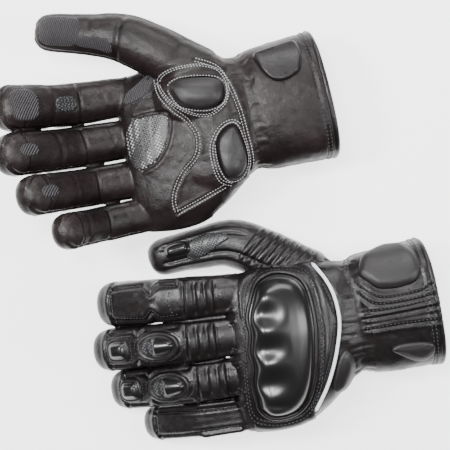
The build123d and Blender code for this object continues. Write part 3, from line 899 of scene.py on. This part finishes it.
def add_detail(glove, verts, normals, label, places, thumb, shear):
    """How far each vertex moves along its normal, mm: seams, folds, rolls and puffed panels."""
    x, y, z = verts.T
    move = np.zeros(len(verts))
    seed = glove.data["seed"]
    wrinkle = value_noise(verts, 7.5, seed) * 0.5 + value_noise(verts, 3.6, seed + 1) * 0.28
    broad = value_noise(verts, 19.0, seed + 2)
    cuff = glove.cuff_local(verts)
    up = normals[:, 2]
    back = smooth(-0.15, 0.25, up)
    palm = smooth(-0.15, 0.25, -up)
    hand = (label < 0) & (cuff[:, 0] < 2)
    xy = verts[:, :2]

    # back of the hand
    on_back = hand & (up > -0.2)
    p = xy[on_back]
    curve = loop_of(GUARD_SEAM)
    d = line_distance(p, ended(curve))
    within = inside(p, curve)
    gap = np.where(within, 1.0, smooth(6, 0.5, d))
    part = sharp(d, 0.9, 0.75) + 0.9 * bell(d - 3.6, 2.6) * ~within
    d = line_distance(p, spline(PIPING_LINE, False, 6))
    before_piping = p[:, 0] < np.interp(p[:, 1], [-44, 12, 50], [36, 57, 46])
    part += 1.1 * bell(d - 5.0, 3.4) * before_piping - 0.7 * bell(d, 1.6)
    for x_loop, y_loop in LOOPS:
        d = line_distance(p, np.array([[x_loop, y_loop], [-30.0, y_loop]]))
        part += sharp(d - 5.2, 0.8, 1.0) + 1.5 * bell(np.abs(d) - 2.5, 1.35) - 1.5 * bell(d, 0.8) \
            + 0.6 * bell(d - 8.0, 1.8)
    part *= np.where(within, 0.25, 1.0)
    move[on_back] += part * back[on_back]
    move[on_back] += 0.25 * wrinkle[on_back] * (1 - gap) * back[on_back]

    # the strip between piping and cuff gathers
    strip = hand & (x > 55) | ((label < 0) & (cuff[:, 0] < 8))
    folds = value_noise(np.stack([x / 2.6, y / 1.0, z / 1.0], axis=1), 4.2, seed + 5)
    gather = (0.9 * np.abs(folds) - 0.35) * (1 - smooth(8, 14, cuff[:, 0]))
    move += np.where(strip, 1.0, 0) * smooth(50, 66, x) * gather

    # palm of the hand
    on_palm = hand & (up < 0.2)
    p = xy[on_palm]
    part = np.zeros(len(p))
    for line, depth in ((spline(PALM_CURVE, False, 6), 0.8), (spline(PALM_WRIST, False, 6), 0.8),
                        (spline(PALM_HEEL, False, 6), 0.7)):
        part += seam(line_distance(p, line), 0.8, depth, 0.35, 2.2, 1.4)
    for pad in (SLIDER_ONE, SLIDER_TWO):
        curve = loop_of(pad)
        d = line_distance(p, ended(curve)) * np.where(inside(p, curve), -1, 1)
        part += 1.1 * bell(np.maximum(d, 0) - 2.2, 2.0) * (d > -1) + sharp(d, 0.9, 0.8)
    part += seam(line_distance(p, ended(loop_of(GRIP))), 0.8, 0.6, 0.3, 2.2, 1.5)
    move[on_palm] += part * palm[on_palm] + 0.45 * wrinkle[on_palm] * palm[on_palm] + 0.5 * broad[on_palm]

    # side seam of hand and cuff
    side = (np.abs(up) < 0.75) & (label < 0)
    level = np.where(cuff[:, 0] > 0, cuff[:, 2] + 2, z + 3.0)
    move[side] += seam(level[side], 0.8, 0.8, 0.4, 2.2, 1.3)

    # cuff
    c = (label < 0) & (cuff[:, 0] >= 2)
    cx = cuff[:, 0]
    cuff_up = normals @ (glove.cuff_rot @ np.array([0, 0, 1.0]))
    top = c & (cuff_up > -0.15)
    q = np.stack([cx[top], girth(cuff[top])], axis=1)
    part = np.zeros(len(q))
    for line, depth in ((CUFF_HEX_LOOP, 0.6), (CUFF_SECOND_LOOP, 0.8), (CUFF_BAND_HIGH, 0.6), (CUFF_BAND_LOW, 0.8),
                        (CUFF_SEAM, 0.7)):
        part += seam(line_distance(q, spline(line, False, 6)), 0.75, depth, 0.5, 2.3, 1.5)
    move[top] += part * smooth(2, 6, q[:, 0])
    move[c] += 0.35 * wrinkle[c] + 0.8 * broad[c] * smooth(4, 16, cx[c])
    end_ring = c & (cx > 30)
    move[end_ring] += sharp(cx[end_ring] - 46.0, 0.7, 0.6) + 0.25 * bell(cx[end_ring] - 48.5, 1.4)
    pinch = c | hand
    move[pinch] -= 1.6 * bell(cx[pinch] - 1.0, 5.0)

    # fingers
    for index, name in enumerate(FINGERS):
        mine = label == index
        s, t, h = (k[mine] for k in places[name])
        bone = glove.bones[name]
        base, total = FINGERS[name]["base"], FINGERS[name]["base"] + FINGERS[name]["tip"]
        wide = widths(bone, s, 5, 5)[0]
        upward = (normals[mine] * bone.at(bone.up, s)).sum(1)
        on_top = smooth(-0.1, 0.35, upward)
        under = smooth(0.0, 0.4, -upward)
        edge = np.abs(t) / wide
        start, end = base - 22.0, base - 2.5
        ribs, welt = 0.0, 0.0
        if name != "little":
            ribs = accordion(s, start, end, 3, 2.3) * on_top * (1 - smooth(0.62, 0.78, edge))
            for at, off in ((start, -2.0), (end, 2.0)):
                welt = welt + (sharp(s - at, 0.6, 0.9) + 0.75 * bell(s - at + off, 1.1)) * on_top \
                    * (1 - smooth(0.7, 0.85, edge))
        st = np.stack([s - base, t / wide * 13.0], axis=1)
        side_seam = 0.0
        for side in (-1, 1):
            line = np.array([(a, side * b * 13.0) for a, b in PANEL_SEAMS[name]])
            away = line_distance(st, line)
            outside = np.sign(side * t / wide * 13.0 - np.interp(st[:, 0], line[:, 0], np.abs(line[:, 1])))
            side_seam = side_seam + sharp(away, 0.75, 1.0) + 0.8 * bell(away + outside * -2.0, 1.3) \
                + 0.7 * bell(away - 2.6, 1.8) * (outside < 0)
        side_seam = side_seam * smooth(-0.15, 0.2, upward) * (1 - smooth(total - 15, total - 12, s))
        ridge = 1.5 * bell((edge - 0.80) * wide, 1.5) - 0.9 * bell((edge - 0.955) * wide, 0.8)
        ridge = ridge * (edge > 0.6) * smooth(-0.15, 0.2, upward) * smooth(-6, 2, s) \
            * (1 - smooth(base - 2, base + 3, s))
        side_seam = side_seam + ridge
        low_seam = seam(h + 4.5, 0.75, 0.8, 0.5, 2.0, 1.2) * smooth(0.72, 0.9, edge)
        cap = sharp(s - (total - 15.5), 0.7, 0.9) + 0.7 * bell(s - (total - 13.0), 1.8)
        puff = 0.9 * on_top * bell((s - (base + 20)) / 14.0, 1.0) * (1 - smooth(0.4, 0.75, edge))
        creases = 0.0
        for at, depth in ((base * 0.35, 0.35), (base, 0.9), (base + 23, 0.35)):
            creases = creases - depth * bell(s - at - 0.6 * broad[mine] * 4, 1.8) * under
        move[mine] += ribs + welt + side_seam + low_seam + cap * (on_top + 0.45 * under) + puff + creases \
            + 0.42 * wrinkle[mine] * (1 - 0.55 * on_top) + 0.3 * broad[mine]

    # thumb
    mine = label == 4
    s, t, h = (k[mine] for k in thumb)
    bone = glove.thumb
    wide = widths(bone, s, 5, 5)[0]
    upward = (normals[mine] * bone.at(bone.up, s)).sum(1)
    on_top = smooth(0.05, 0.45, upward)
    under = smooth(0.05, 0.45, -upward)
    total = THUMB_BASE + THUMB_TIP
    fan = accordion(s + 0.28 * t, 2.0, 46.0, 8, 1.8) * on_top * smooth(-0.65, -0.35, t / wide)
    ridge = sharp(t + 0.35 * wide, 0.9, 1.0) + 0.9 * bell(t + 0.62 * wide, 2.0)
    ridge = ridge * on_top * smooth(4, 10, s) * (1 - smooth(total - 14, total - 8, s))
    upper = (sharp(t - 0.45 * wide, 0.8, 0.9) + 0.6 * bell(t - 0.68 * wide, 1.6)) * on_top * smooth(44, 50, s) \
        * (1 - smooth(total - 14, total - 8, s))
    side_line = seam(h + 3.0, 0.8, 0.8, 0.5, 2.1, 1.2) * smooth(0.6, 0.85, np.abs(t) / wide)
    creases = 0.0
    for at, depth in ((18.0, 0.5), (56.0, 0.8), (78.0, 0.35)):
        creases = creases - depth * bell(s - at - 2.5 * broad[mine], 2.0) * under
    move[mine] += (fan + ridge + upper + side_line + creases + 0.4 * wrinkle[mine] + 0.5 * broad[mine]) \
        * smooth(THUMB_EDGE, 52, shear[mine])
    return move


OVAL_ANGLES = np.linspace(-math.pi, math.pi, 181)


def oval(angles):
    return CUFF_OVAL[0] * np.sin(angles), CUFF_OVAL[1] * np.cos(angles)


def oval_run():
    """Arc position at each of OVAL_ANGLES, from the middle of the cuff's back."""
    y, z = oval(OVAL_ANGLES)
    run = np.concatenate([[0], np.cumsum(np.hypot(np.diff(y), np.diff(z)))])
    return run - run[len(run) // 2]


def girth(local):
    """Arc position round the cuff from its back's middle, mm: + to the thumb side."""
    angle = np.arctan2(local[:, 1] / CUFF_OVAL[0], local[:, 2] / CUFF_OVAL[1])
    return np.interp(angle, OVAL_ANGLES, oval_run())


CUFF_HEX = [(6, 30), (12, 42), (28, 48), (40, 44), (45.5, 33), (46, 20), (41, 15), (28, 14.5), (16, 17)]
CUFF_HEX_LOOP = [(4, 52), (1.5, 43), (0.5, 31), (8, 18.5), (17, 10.5), (32, 8.5), (44, 9), (51, 12)]
CUFF_SECOND_LOOP = [(-2, 36), (0, 25), (6, 14.5), (13, 7), (28, 5), (44, 5), (53, 5.5)]
CUFF_BAND_HIGH = [(5, 2.5), (28, 1.5), (53, 2.5)]
CUFF_BAND_LOW = [(2, -2.0), (27, -2.0), (53, -1.5)]
CUFF_SEAM = [(2, -11.5), (17, -10), (40, -10), (53, -11)]
CUFF_SMALL = [(18, -25), (24, -22), (38, -22), (46, -24.5), (45, -31), (40, -35), (33, -34.5), (24, -29.5)]
ULNA = [(59.5, -7), (63.5, -9), (65.5, -17), (62.5, -28), (57, -34), (49.5, -33), (52, -20), (56, -10)]


# along the cuff, and back from the middle of its palm side
FLAP = [(11, 38), (14, 25), (19, 16), (27, 13.5), (38, 17), (42, 26), (41, 38)]
HALF_GIRTH = 109.0    # mm of arc from the middle of the cuff's back to the middle of its palm side
HEM_REACH = 106.0     # mm of arc that the hem's stitches run to on each side
LINING_DEPTH = 5.0    # mm from the cuff's outside to its lining
LINING_SECTIONS = [(64, 66, 29, 11.5, -4), (50, 76, 30, 5, -3.5), (30, 86, 29, -1, -2.5), (10, 86, 24, -2, -1.5)]


# ---- building a glove -------------------------------------------------------------------------------------------
def cuff_chart(glove):
    """Outlines laid on the cuff: along it, and round it from the middle of its back."""
    run = oval_run()

    def rays(p):
        y, z = oval(np.interp(p[:, 1], run, OVAL_ANGLES))
        out = np.stack([np.zeros(len(p)), y, z], axis=1)
        ways = -out / np.linalg.norm(out, axis=1)[:, None]
        starts = np.stack([p[:, 0], 2.2 * out[:, 1], 2.2 * out[:, 2]], axis=1)
        return glove.cuff_place(starts), ways @ glove.cuff_rot.T
    return Chart(rays)


def tree_of(verts, faces):
    return BVHTree.FromPolygons([tuple(v) for v in verts], faces)


def picked(verts, faces, normals, keep):
    """The mesh of the kept faces alone."""
    chosen = [f for f, k in zip(faces, keep) if k]
    used = np.unique(np.concatenate([np.array(f) for f in chosen]))
    index = np.full(len(verts), -1)
    index[used] = np.arange(len(used))
    return verts[used], [tuple(index[list(f)]) for f in chosen], normals[used]


def wrist_blend(glove, obj):
    """obj has its transform baked into its mesh; the hand and cuff bodies and the two hinge points are worked out but
    not used.
    """
    a, b = glove.world([[57, 12, -4], [79, 12, -4]])
    glove.body("hand")
    glove.body("cuff")
    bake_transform(obj)
    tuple(a)
    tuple(b)


def bone_blend(glove, obj, bone, first, second, low, high):
    a, b = glove.world([bone.at(bone.place, low), bone.at(bone.place, high)])
    glove.body(first)
    glove.body(second)
    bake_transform(obj)
    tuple(a)
    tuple(b)


def build_skin(glove):
    parts = [hand_and_cuff(glove)] + heel_pads()
    for bone in glove.bones.values():
        parts.append(tube([section(c, side, up, w, h, 32, 2.3) for c, side, up, w, h in bone.rings()]))
    bone = glove.thumb
    parts.append(tube([section(c, side, up, w, h, 32, 2.2) for c, side, up, w, h in bone.rings()]))
    verts, faces = united(parts, VOXEL, int(SMOOTHING * FINE_VOXEL / VOXEL) + FIXED_SMOOTHING)
    glove.smooth_tree = tree_of(verts, faces)
    normals = normals_of(verts, faces)
    label, places, thumb, shear = finger_label(glove, verts)
    verts = verts + normals * add_detail(glove, verts, normals, label, places, thumb, shear)[:, None]
    normals = normals_of(verts, faces)
    cuff = glove.cuff_local(verts)
    glove.tree = tree_of(verts, faces)
    first = np.array([f[0] for f in faces])
    face_label = label[first]
    face_cuff = cuff[first, 0]
    open_end = face_cuff < CUFF_LENGTH
    upper = np.where(face_cuff > 0, cuff[first, 2] > -2, verts[first, 2] > -3.0)
    below = (normals[first][:, 2] < -0.12).astype(int)

    def piece(name, keep, mats, nodes):
        v, f, n = picked(verts, faces, normals, keep)
        side = below[keep] if len(mats) > 1 else None
        obj = shown(glove, name, v, f, mats, mat_index=side, normals=n)
        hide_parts(*[glove.body(k) for k in nodes])
        return obj

    hand = face_label < 0
    for name, keep, mats, nodes in (
            ("back_panel", hand & (face_cuff <= 2) & upper, [LEATHER], ["back_shell"]),
            ("palm_panel", hand & (face_cuff <= 2) & ~upper, [PALM_LEATHER], ["palm_shell"]),
            ("cuff_back", hand & (face_cuff > 2) & upper & open_end, [LEATHER], ["cuff_shell"]),
            ("cuff_palm", hand & (face_cuff > 2) & ~upper & open_end, [PALM_LEATHER], [])):
        wrist_blend(glove, piece(name, keep, mats, nodes))
    both = [LEATHER, PALM_LEATHER]
    for index, name in enumerate(FINGERS):
        s = places[name][0][first]
        mine = face_label == index
        base = FINGERS[name]["base"]
        split = base - 20.0
        bone = glove.bones[name]
        low = piece(name + "_knuckle", mine & (s < split), both, [name + "_base_stall"])
        bone_blend(glove, low, bone, "hand", name + "_base", -8.0, min(8.0, split))
        nodes = [name + "_tip_stall"] + ([name + "_stretch_panel"] if name != "little" else [])
        high = piece(name + "_finger", mine & (s >= split), both, nodes)
        bone_blend(glove, high, bone, name + "_base", name + "_tip", base - 17.0, base + 3.0)
    mine = face_label == 4
    web = shear[first] < THUMB_WEB
    low = piece("thumb_root", mine & web, both, ["thumb_base_stall"])
    a, b = glove.world([[0, 48.5, -8], [-0.372, 54.09, -8]])
    glove.body("hand")
    glove.body("thumb_base")
    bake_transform(low)
    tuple(a)
    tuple(b)
    high = piece("thumb_finger", mine & ~web, both, ["thumb_tip_stall"])
    bone_blend(glove, high, glove.thumb, "thumb_base", "thumb_tip", THUMB_BASE - 12, THUMB_BASE + 12)


def guard_height(d, u, v):
    """The guard's flange, then its shell, with a bump for each knuckle that fades towards the wrist."""
    flange = 1.7 * arch(d / 0.9)
    rise = arch((d - 1.6) / 8.5)
    slope = 1 - 0.45 * smooth(12, 42, u)
    valley = 0.5 - 0.5 * np.cos(2 * math.pi * (v - BUMPS[1]) / BUMP_PITCH)
    valley = valley * smooth(2.0, 8.0, d) * (1 - smooth(10, 27, u))
    return flange + 8.4 * rise * slope - 2.7 * valley


def slider_height(d, u, v):
    """A faceted rounded-square stud."""
    return 2.0 * arch(d / 0.8) + 2.2 * smooth(0.8, 3.2, d) + 0.18 * np.clip(d - 3.2, 0, 3)


def ring_outline(centre, half_long, half_wide, power=2.0, count=40):
    a = np.linspace(0, 2 * math.pi, count, endpoint=False)
    c, s = np.cos(a), np.sin(a)
    return np.stack([centre[0] + half_long * np.sign(c) * np.abs(c) ** (2 / power),
                     centre[1] + half_wide * np.sign(s) * np.abs(s) ** (2 / power)], axis=1)


def carried(glove, obj, body, nodes=()):
    """The piece rides on its body, or has its transform baked when its body is the wrist, and stands for its CAD
    nodes.
    """
    if body == "wrist":
        wrist_blend(glove, obj)
    elif body:
        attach(obj, glove.body(body))
    if nodes:
        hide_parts(*[glove.body(n) for n in nodes])
    return obj


def add_patch(glove, name, chart, outline, height, mat, body, nodes=(), pad=None, **more):
    verts, faces = patch(glove, chart, outline, height, **more)
    obj = carried(glove, shown(glove, name, verts, faces, [mat]), body, nodes)
    return obj


def add_group(glove, name, items, mat, body, nodes=()):
    verts, faces = joined([i for i in items if len(i[0])])
    return carried(glove, shown(glove, name, verts, faces, [mat]), body, nodes)


def offset_line(line, distance):
    """The line moved to its left by a distance."""
    p = np.array(line, float)
    t = np.gradient(p, axis=0)
    t /= np.linalg.norm(t, axis=1)[:, None] + 1e-9
    return p + np.stack([-t[:, 1], t[:, 0]], axis=1) * distance


def hand_back(glove):
    chart = flat_chart()
    tree = glove.tree
    outline = loop_of(GUARD)
    add_patch(glove, "guard", chart, outline, guard_height, SHELL, "hand", ["knuckle_guard"], rings=44, count=220,
              relax=40)
    places, normals = chart.onto(tree, resampled(grown(outline, 0.035), count=150, closed=True))
    add_group(glove, "guard_welt", [cord_along(places, normals, 1.5, 8, 0.35, True)], LEATHER, "hand",
              ["guard_surround"])
    line = spline(PIPING_LINE, False, 8)
    places, normals = chart.onto(glove.smooth_tree, resampled(line, pitch=1.5))
    add_group(glove, "piping", [cord_along(places, normals, 1.15, 10, 0.9)], PIPING_PAINTED_GLOW, "hand", ["reflective_piping"])
    sewn = loop_of(GUARD_SEAM)
    rows = [stitches(chart, tree, resampled(grown(sewn, k), count=260, closed=True), closed=True)
            for k in (0.028, -0.028)]
    rows.append(stitches(chart, tree, offset_line(line, 3.2)))
    half_turn = np.linspace(-math.pi / 2, math.pi / 2, 12)
    for x, y in LOOPS:
        arc = np.stack([x + 7.0 * np.cos(half_turn), y + 7.0 * np.sin(half_turn)], axis=1)
        rows.append(stitches(chart, tree, arc))
    add_group(glove, "back_stitches", rows, THREAD, "wrist")
    add_patch(glove, "ulna_pad", chart, loop_of(ULNA, 5), dome(1.6, 3.6, 1.4, 6), PAD_LEATHER, "wrist", ["ulna_pad"],
              0.8)


def hand_palm(glove):
    chart = flat_chart(under=True)
    for name, loop, nodes in (("heel_pad_thumb", SLIDER_ONE, ["palm_sliders"]), ("heel_pad_outer", SLIDER_TWO, [])):
        add_patch(glove, name, chart, loop_of(loop), dome(3.0, 4.4, 1.8, 7), PAD_LEATHER, "hand", nodes, 0.9)
    add_patch(glove, "grip", chart, rounded(GRIP, 3, 3), plate(0.75, 0.9), DOTTED, "hand", ["grip_panel"])
    lines = [offset_line(spline(line, False, 8), side * off)
             for line, off in ((PALM_CURVE, 1.1), (PALM_WRIST, 1.1), (PALM_HEEL, 1.1), (SLIDER_TWO_LOOP, 0.9))
             for side in (1, -1)]
    rows = [stitches(chart, glove.tree, line, *SMALL_STITCH) for line in lines]
    curves = [grown(loop_of(SLIDER_ONE_LOOP), k) for k in (-0.035, 0.035)]
    curves += [grown(loop_of(loop), 0.17) for loop in (SLIDER_ONE, SLIDER_TWO)]
    rows += [stitches(chart, glove.tree, curve, *SMALL_STITCH, closed=True) for curve in curves]
    add_group(glove, "palm_stitches", rows, LIGHT_THREAD, "wrist")


def crotch_strips(glove):
    """Ribbed grip cloth between the thumb and the index finger, on the palm side."""
    strip = loop_of([(-8, 30.5), (-6.5, 37), (1, 41.5), (9, 46.5), (13.5, 44), (10, 36), (1, 31)])
    add_patch(glove, "crotch_strip", flat_chart(under=True), strip, plate(0.6, 0.9), RIBBED, "hand", tree=glove.tree)
    strip = loop_of([(THUMB_BASE + s, t)
                     for s, t in ((4, -12.0), (16, -10.5), (27, -9.0), (31, -4.5), (20, -3.0), (7, -4.5))])
    add_patch(glove, "thumb_strip", bone_chart(glove.thumb, True), strip, plate(0.6, 0.9), RIBBED, "thumb_tip",
              tree=glove.tree)


def side_panels(glove):
    """The side panel of each finger, seen as a rolled strip in the gap beside it."""
    for name in ("middle", "ring", "little"):
        bone = glove.bones[name]
        base, total = FINGERS[name]["base"], FINGERS[name]["base"] + FINGERS[name]["tip"]
        rings = []
        for s in np.linspace(1.0, total - 15.0, 40):
            wide, thick = bone.at(bone.half, s)
            side, up = bone.at(bone.side, s), bone.at(bone.up, s)
            centre = bone.at(bone.place, s) + side * (wide - 2.5) - up * thick * 0.30
            fade = 0.35 + 0.65 * float(smooth(0, 5, s - 1.0) * smooth(0, 6, total - 15.0 - s))
            rings.append(section(centre, side, up, 2.7 * fade, 4.5 * fade, 14, 2.0))
        verts, faces = tube(rings)
        faces = facing(verts, faces, verts[faces[0][0]] - rings[0].mean(0))
        obj = shown(glove, name + "_side_panel", verts, faces, [LEATHER])
        bone_blend(glove, obj, bone, name + "_base", name + "_tip", base - 17.0, base + 3.0)


def cuff_trim(glove, chart):
    """Pads and stitches of the cuff."""
    add_patch(glove, "cuff_pad", chart, rounded(CUFF_HEX, 4, 4), dome(2.6, 4.2, 0.9, 4), PAD_LEATHER, "cuff",
              ["cuff_pads"], 0.8, sink=2.5, relax=3)
    add_patch(glove, "cuff_pad_small", chart, loop_of(CUFF_SMALL, 5), dome(1.8, 2.8, 1.3, 5), PAD_LEATHER, "cuff", (),
              0.8)
    rows = []
    for line, sides in ((CUFF_HEX_LOOP, (1.3, -1.3)), (CUFF_SECOND_LOOP, (1.2,)), (CUFF_BAND_HIGH, (1.2,)),
                        (CUFF_BAND_LOW, (-1.3,)), (CUFF_SEAM, (-1.3, 1.3))):
        rows += [stitches(chart, glove.tree, offset_line(spline(line, False, 8), side)) for side in sides]
    for s in (46.0, 48.2):
        rows.append(stitches(chart, glove.tree, [(s, a) for a in np.linspace(-HEM_REACH, HEM_REACH, 120)]))
    add_group(glove, "cuff_stitches", rows, THREAD, "wrist")


def cuff_rim(glove, angles):
    """Points round the cuff's open end, and the ways out of them."""
    rim, out = [], []
    for a in angles:
        local = np.array([[CUFF_LENGTH - 1.0, *oval(a)]])
        way = np.array([0, -local[0, 1], -local[0, 2]])
        way = glove.cuff_rot @ (way / np.linalg.norm(way))
        start = glove.cuff_place(local * np.array([1, 2.2, 2.2]))[0]
        hit = glove.tree.ray_cast(Vector(start), Vector(way))[0]
        rim.append(np.array(hit) + way * 1.2)
        out.append(-way)
    return np.array(rim) + glove.cuff_rot @ np.array([1.0, 0, 0]), np.array(out)


def edge_and_lining(glove):
    angles = np.linspace(0, 2 * math.pi, 160, endpoint=False)
    rim, out = cuff_rim(glove, angles)
    add_group(glove, "cuff_edge", [cord_along(rim, out, 2.0, 10, 0.0, True, 1.0)], LEATHER, "cuff", ["cuff_binding"])
    rings = [rim - out * 1.2]
    stations, wides, thicks = zip(*CUFF_SECTIONS)
    for at in (45.0, 36.0, 26.0, 14.0, 5.0):
        wide = np.interp(at, stations, wides) / 2 - LINING_DEPTH
        thick = np.interp(at, stations, thicks) / 2 - LINING_DEPTH
        rings.append(glove.cuff_place(np.stack([np.full(len(angles), at), wide * np.sin(angles),
                                                thick * np.cos(angles)], axis=1)))
    for x, wide, thick, y, z in LINING_SECTIONS:
        rings.append(np.stack([np.full(len(angles), float(x)), y + wide / 2 * np.sin(angles),
                               z + thick / 2 * np.cos(angles)], axis=1))
    verts, faces = tube(rings)
    walls = (len(rings) - 1) * len(angles)
    faces = facing(verts, faces[:walls] + faces[walls + 1::2], rings[0].mean(0) - rings[0][0])
    lining = shown(glove, "lining", verts, faces, [LINING])
    wrist_blend(glove, lining)
    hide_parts(glove.body("hand_lining"))


def closure(glove, chart):
    """The closure flap on the palm side, with its hook-and-loop patches."""
    flap = rounded([(s, HALF_GIRTH - a) for s, a in FLAP], 4, 4)
    obj = add_patch(glove, "flap", chart, flap, plate(1.5, 1.3, 1.5), LEATHER, None, ["cuff_flap"], sink=-1.2,
                    relax=2)
    a, b = glove.cuff_place([[24, 38, -18], [24, 31, -20]])
    a, b = glove.world([a, b])
    glove.body("cuff")
    glove.body("flap")
    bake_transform(obj)
    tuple(a)
    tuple(b)
    centre = np.array([27, HALF_GIRTH - 24])
    inner = centre + (flap - centre) * 0.62 + np.array([0.5, 2.0])
    add_patch(glove, "hook_patch_piece", chart, inner, plate(0, 1, 1.3), HOOKS, "flap", ["hook_patch"], sink=-0.8,
              rings=4, relax=2)
    add_patch(glove, "loop_patch_piece", chart, inner, plate(0, 1, 0.65), HOOKS, "cuff", ["loop_patch"], rings=4,
              relax=2)


def cuff_details(glove):
    chart = cuff_chart(glove)
    cuff_trim(glove, chart)
    edge_and_lining(glove)
    closure(glove, chart)


def finger_sliders(glove, name, chart, base):
    """The vented slider and the square stud of a finger; the lines for their stitches."""
    middle, tip = (base + 14.5, 0.0), (base + 42.0, 0.0)
    body = name + "_tip"

    def ridge_height(d, u, v):
        along = (u - middle[0]) / 11.2
        slope = np.clip(0.35 - along, 0, 1.35) / 1.35
        across = np.clip(1 - (v / (5.6 * (0.55 + 0.45 * (1 - np.clip(-along, 0, 1))))) ** 2, 0, 1)
        return 1.6 * smooth(0, 0.9, d) + 3.4 * across ** 0.6 * smooth(-0.02, 0.25, slope) * (1 - 0.45 * slope) \
            * smooth(0.4, 2.6, d)

    def oval_height(d, u, v):
        return 1.9 * smooth(0, 1.0, d) - 0.9 * smooth(1.8, 3.0, d) + 0.4

    pieces = [patch(glove, chart, ring_outline(middle, 11.2, 7.0, 2.1), ridge_height, rings=14, relax=20),
              patch(glove, chart, ring_outline(tip, 6.6, 6.0, 3.2), slider_height, rings=10, relax=20)]
    add_group(glove, name + "_studs", pieces, SHELL, body, [name + "_sliders"])
    outer, square = ring_outline(middle, 14.0, 9.6, 2.2), ring_outline(tip, 8.2, 8.0, 3.4)
    add_patch(glove, name + "_slider_base", chart, outer, oval_height, LEATHER, body, rings=14)
    add_patch(glove, name + "_stud_base", chart, square, plate(1.7, 1.2), LEATHER, body)
    vent = ring_outline((base + 20.2, 0.0), 3.9, 4.2, 2.0)
    add_patch(glove, name + "_vent", chart, vent, plate(0, 1, 2.35), CARBON, body, rings=4)
    return grown(outer, 0.10), grown(square, 0.12)


def fingers(glove):
    for name, finger in FINGERS.items():
        bone = glove.bones[name]
        base, total = finger["base"], finger["base"] + finger["tip"]
        chart, under = bone_chart(bone), bone_chart(bone, True)
        wide = bone.half[len(bone.half) // 2, 0]
        body, rows = name + "_tip", []
        if name in ("middle", "ring"):
            for line in finger_sliders(glove, name, chart, base):
                rows.append(stitches(chart, glove.tree, line, *SLIDER_STITCH, closed=True))
            lines = []
        else:
            lines = [[(base + a, side * wide * (b - 0.10)) for a, b in PANEL_SEAMS[name]] for side in (-1, 1)]
        if name != "little":
            lines.append([(base + 4.0, -0.6 * wide), (base + 6.0, 0), (base + 4.0, 0.6 * wide)])
        lines.append([(total - 17.2, t) for t in np.linspace(-wide * 0.85, wide * 0.85, 14)])
        rows += [stitches(chart, glove.tree, line, *FINGER_STITCH) for line in lines]
        add_group(glove, name + "_stitches", rows, THREAD, body)
        if name == "index":
            tip = ring_outline((total - 14.5, 0.0), 10.5, wide * 0.74, 3.6)
            add_patch(glove, "index_grip", under, tip, plate(0.55, 0.8), RIBBED, body)
            inset = ring_outline((base + 14.0, -1.0), 9.0, 5.0, 2.6)
            add_patch(glove, "index_mesh", under, inset, plate(0.5, 0.8), CARBON, body)
        elif name != "little":
            drop = ring_outline((total - 15.0, 1.0), 8.0, 4.2, 2.4)
            add_patch(glove, name + "_grip", under, drop, plate(0.55, 0.8), RIBBED, body)


def thumb_details(glove):
    bone, total, body = glove.thumb, THUMB_BASE + THUMB_TIP, "thumb_tip"
    chart = bone_chart(bone)
    add_patch(glove, "thumb_slider", bone_chart(bone, roll=14), ring_outline((total - 22, 0), 9.0, 5.0, 2.8),
              slider_height, SHELL, body)
    inset = loop_of([(total - s, t) for s, t in ((30, -6.5), (40, -5), (50, -1), (57, 4), (50, 7.5), (40, 8.5),
                                                 (31, 6), (27, -1))])
    add_patch(glove, "thumb_mesh", chart, inset, plate(0.7, 0.9), CARBON, body)
    tip = ring_outline((total - 17.5, 0.0), 13.5, 9.8, 3.6)
    add_patch(glove, "thumb_grip", bone_chart(bone, True), tip, plate(0.55, 0.8), RIBBED, body)
    rows = [stitches(chart, glove.tree, [(total - 14, t), (THUMB_BASE + 16, t)], *FINGER_STITCH)
            for t in (-5.5, 6.5)]
    add_group(glove, "thumb_stitches", rows, THREAD, body)


for side_name in GLOVES:
    current = Glove(side_name)
    for build in (build_skin, hand_back, hand_palm, cuff_details, fingers, thumb_details, crotch_strips, side_panels):
        build(current)


# ---- floor, light and camera --------------------------------------------------------------------------------------
FLOOR_LEVEL = -0.0005       # m
CAMERA_AT = (0.0017, 0.0036, 0.80)
SEEN_WIDTH = 0.297          # m across the picture, at SEEN_LEVEL
SEEN_LEVEL = 0.035
AIM = (0, 0, 0.03)          # where the lights point


def floor():
    mesh = mesh_of("floor", [(x, y, FLOOR_LEVEL) for x, y in ((-2, -2), (2, -2), (2, 2), (-2, 2))], [(0, 1, 2, 3)])
    mat = material("floor_paper", (0.9, 0.9, 0.9), 0.9, None, Emission_Color=(1, 1, 1, 1), Emission_Strength=2.2)
    mesh.materials.append(mat)
    obj = bpy.data.objects.new("floor", mesh)
    bpy.context.scene.collection.objects.link(obj)


def softbox(name, at, size, power):
    light = bpy.data.lights.new(name, "AREA")
    light.shape, light.size, light.size_y, light.energy = "RECTANGLE", size[0], size[1], power
    obj = bpy.data.objects.new(name, light)
    obj.location = at
    obj.rotation_mode = "QUATERNION"
    obj.rotation_quaternion = (Vector(AIM) - Vector(at)).to_track_quat("-Z", "Y")
    bpy.context.scene.collection.objects.link(obj)


def studio():
    world = bpy.data.worlds.new("studio")
    world.use_nodes = True
    background = world.node_tree.nodes["Background"]
    background.inputs["Color"].default_value = (1, 1, 1, 1)
    background.inputs["Strength"].default_value = 0.12
    bpy.context.scene.world = world
    softbox("box_left", (-0.42, 0.10, 0.75), (0.14, 0.20), 6.5)
    softbox("box_right", (-0.12, 0.14, 0.85), (0.10, 0.20), 4.2)
    softbox("box_cuff", (0.50, 0.02, 0.62), (0.16, 0.5), 3.6)
    softbox("box_top", (0.1, 0.75, 0.6), (0.7, 0.35), 7.0)


def camera():
    data = bpy.data.cameras.new("camera")
    data.sensor_width = 36.0
    data.lens = data.sensor_width * (CAMERA_AT[2] - SEEN_LEVEL) / SEEN_WIDTH
    obj = bpy.data.objects.new("camera", data)
    obj.location = CAMERA_AT
    bpy.context.scene.collection.objects.link(obj)
    bpy.context.scene.camera = obj


floor()
studio()
camera()
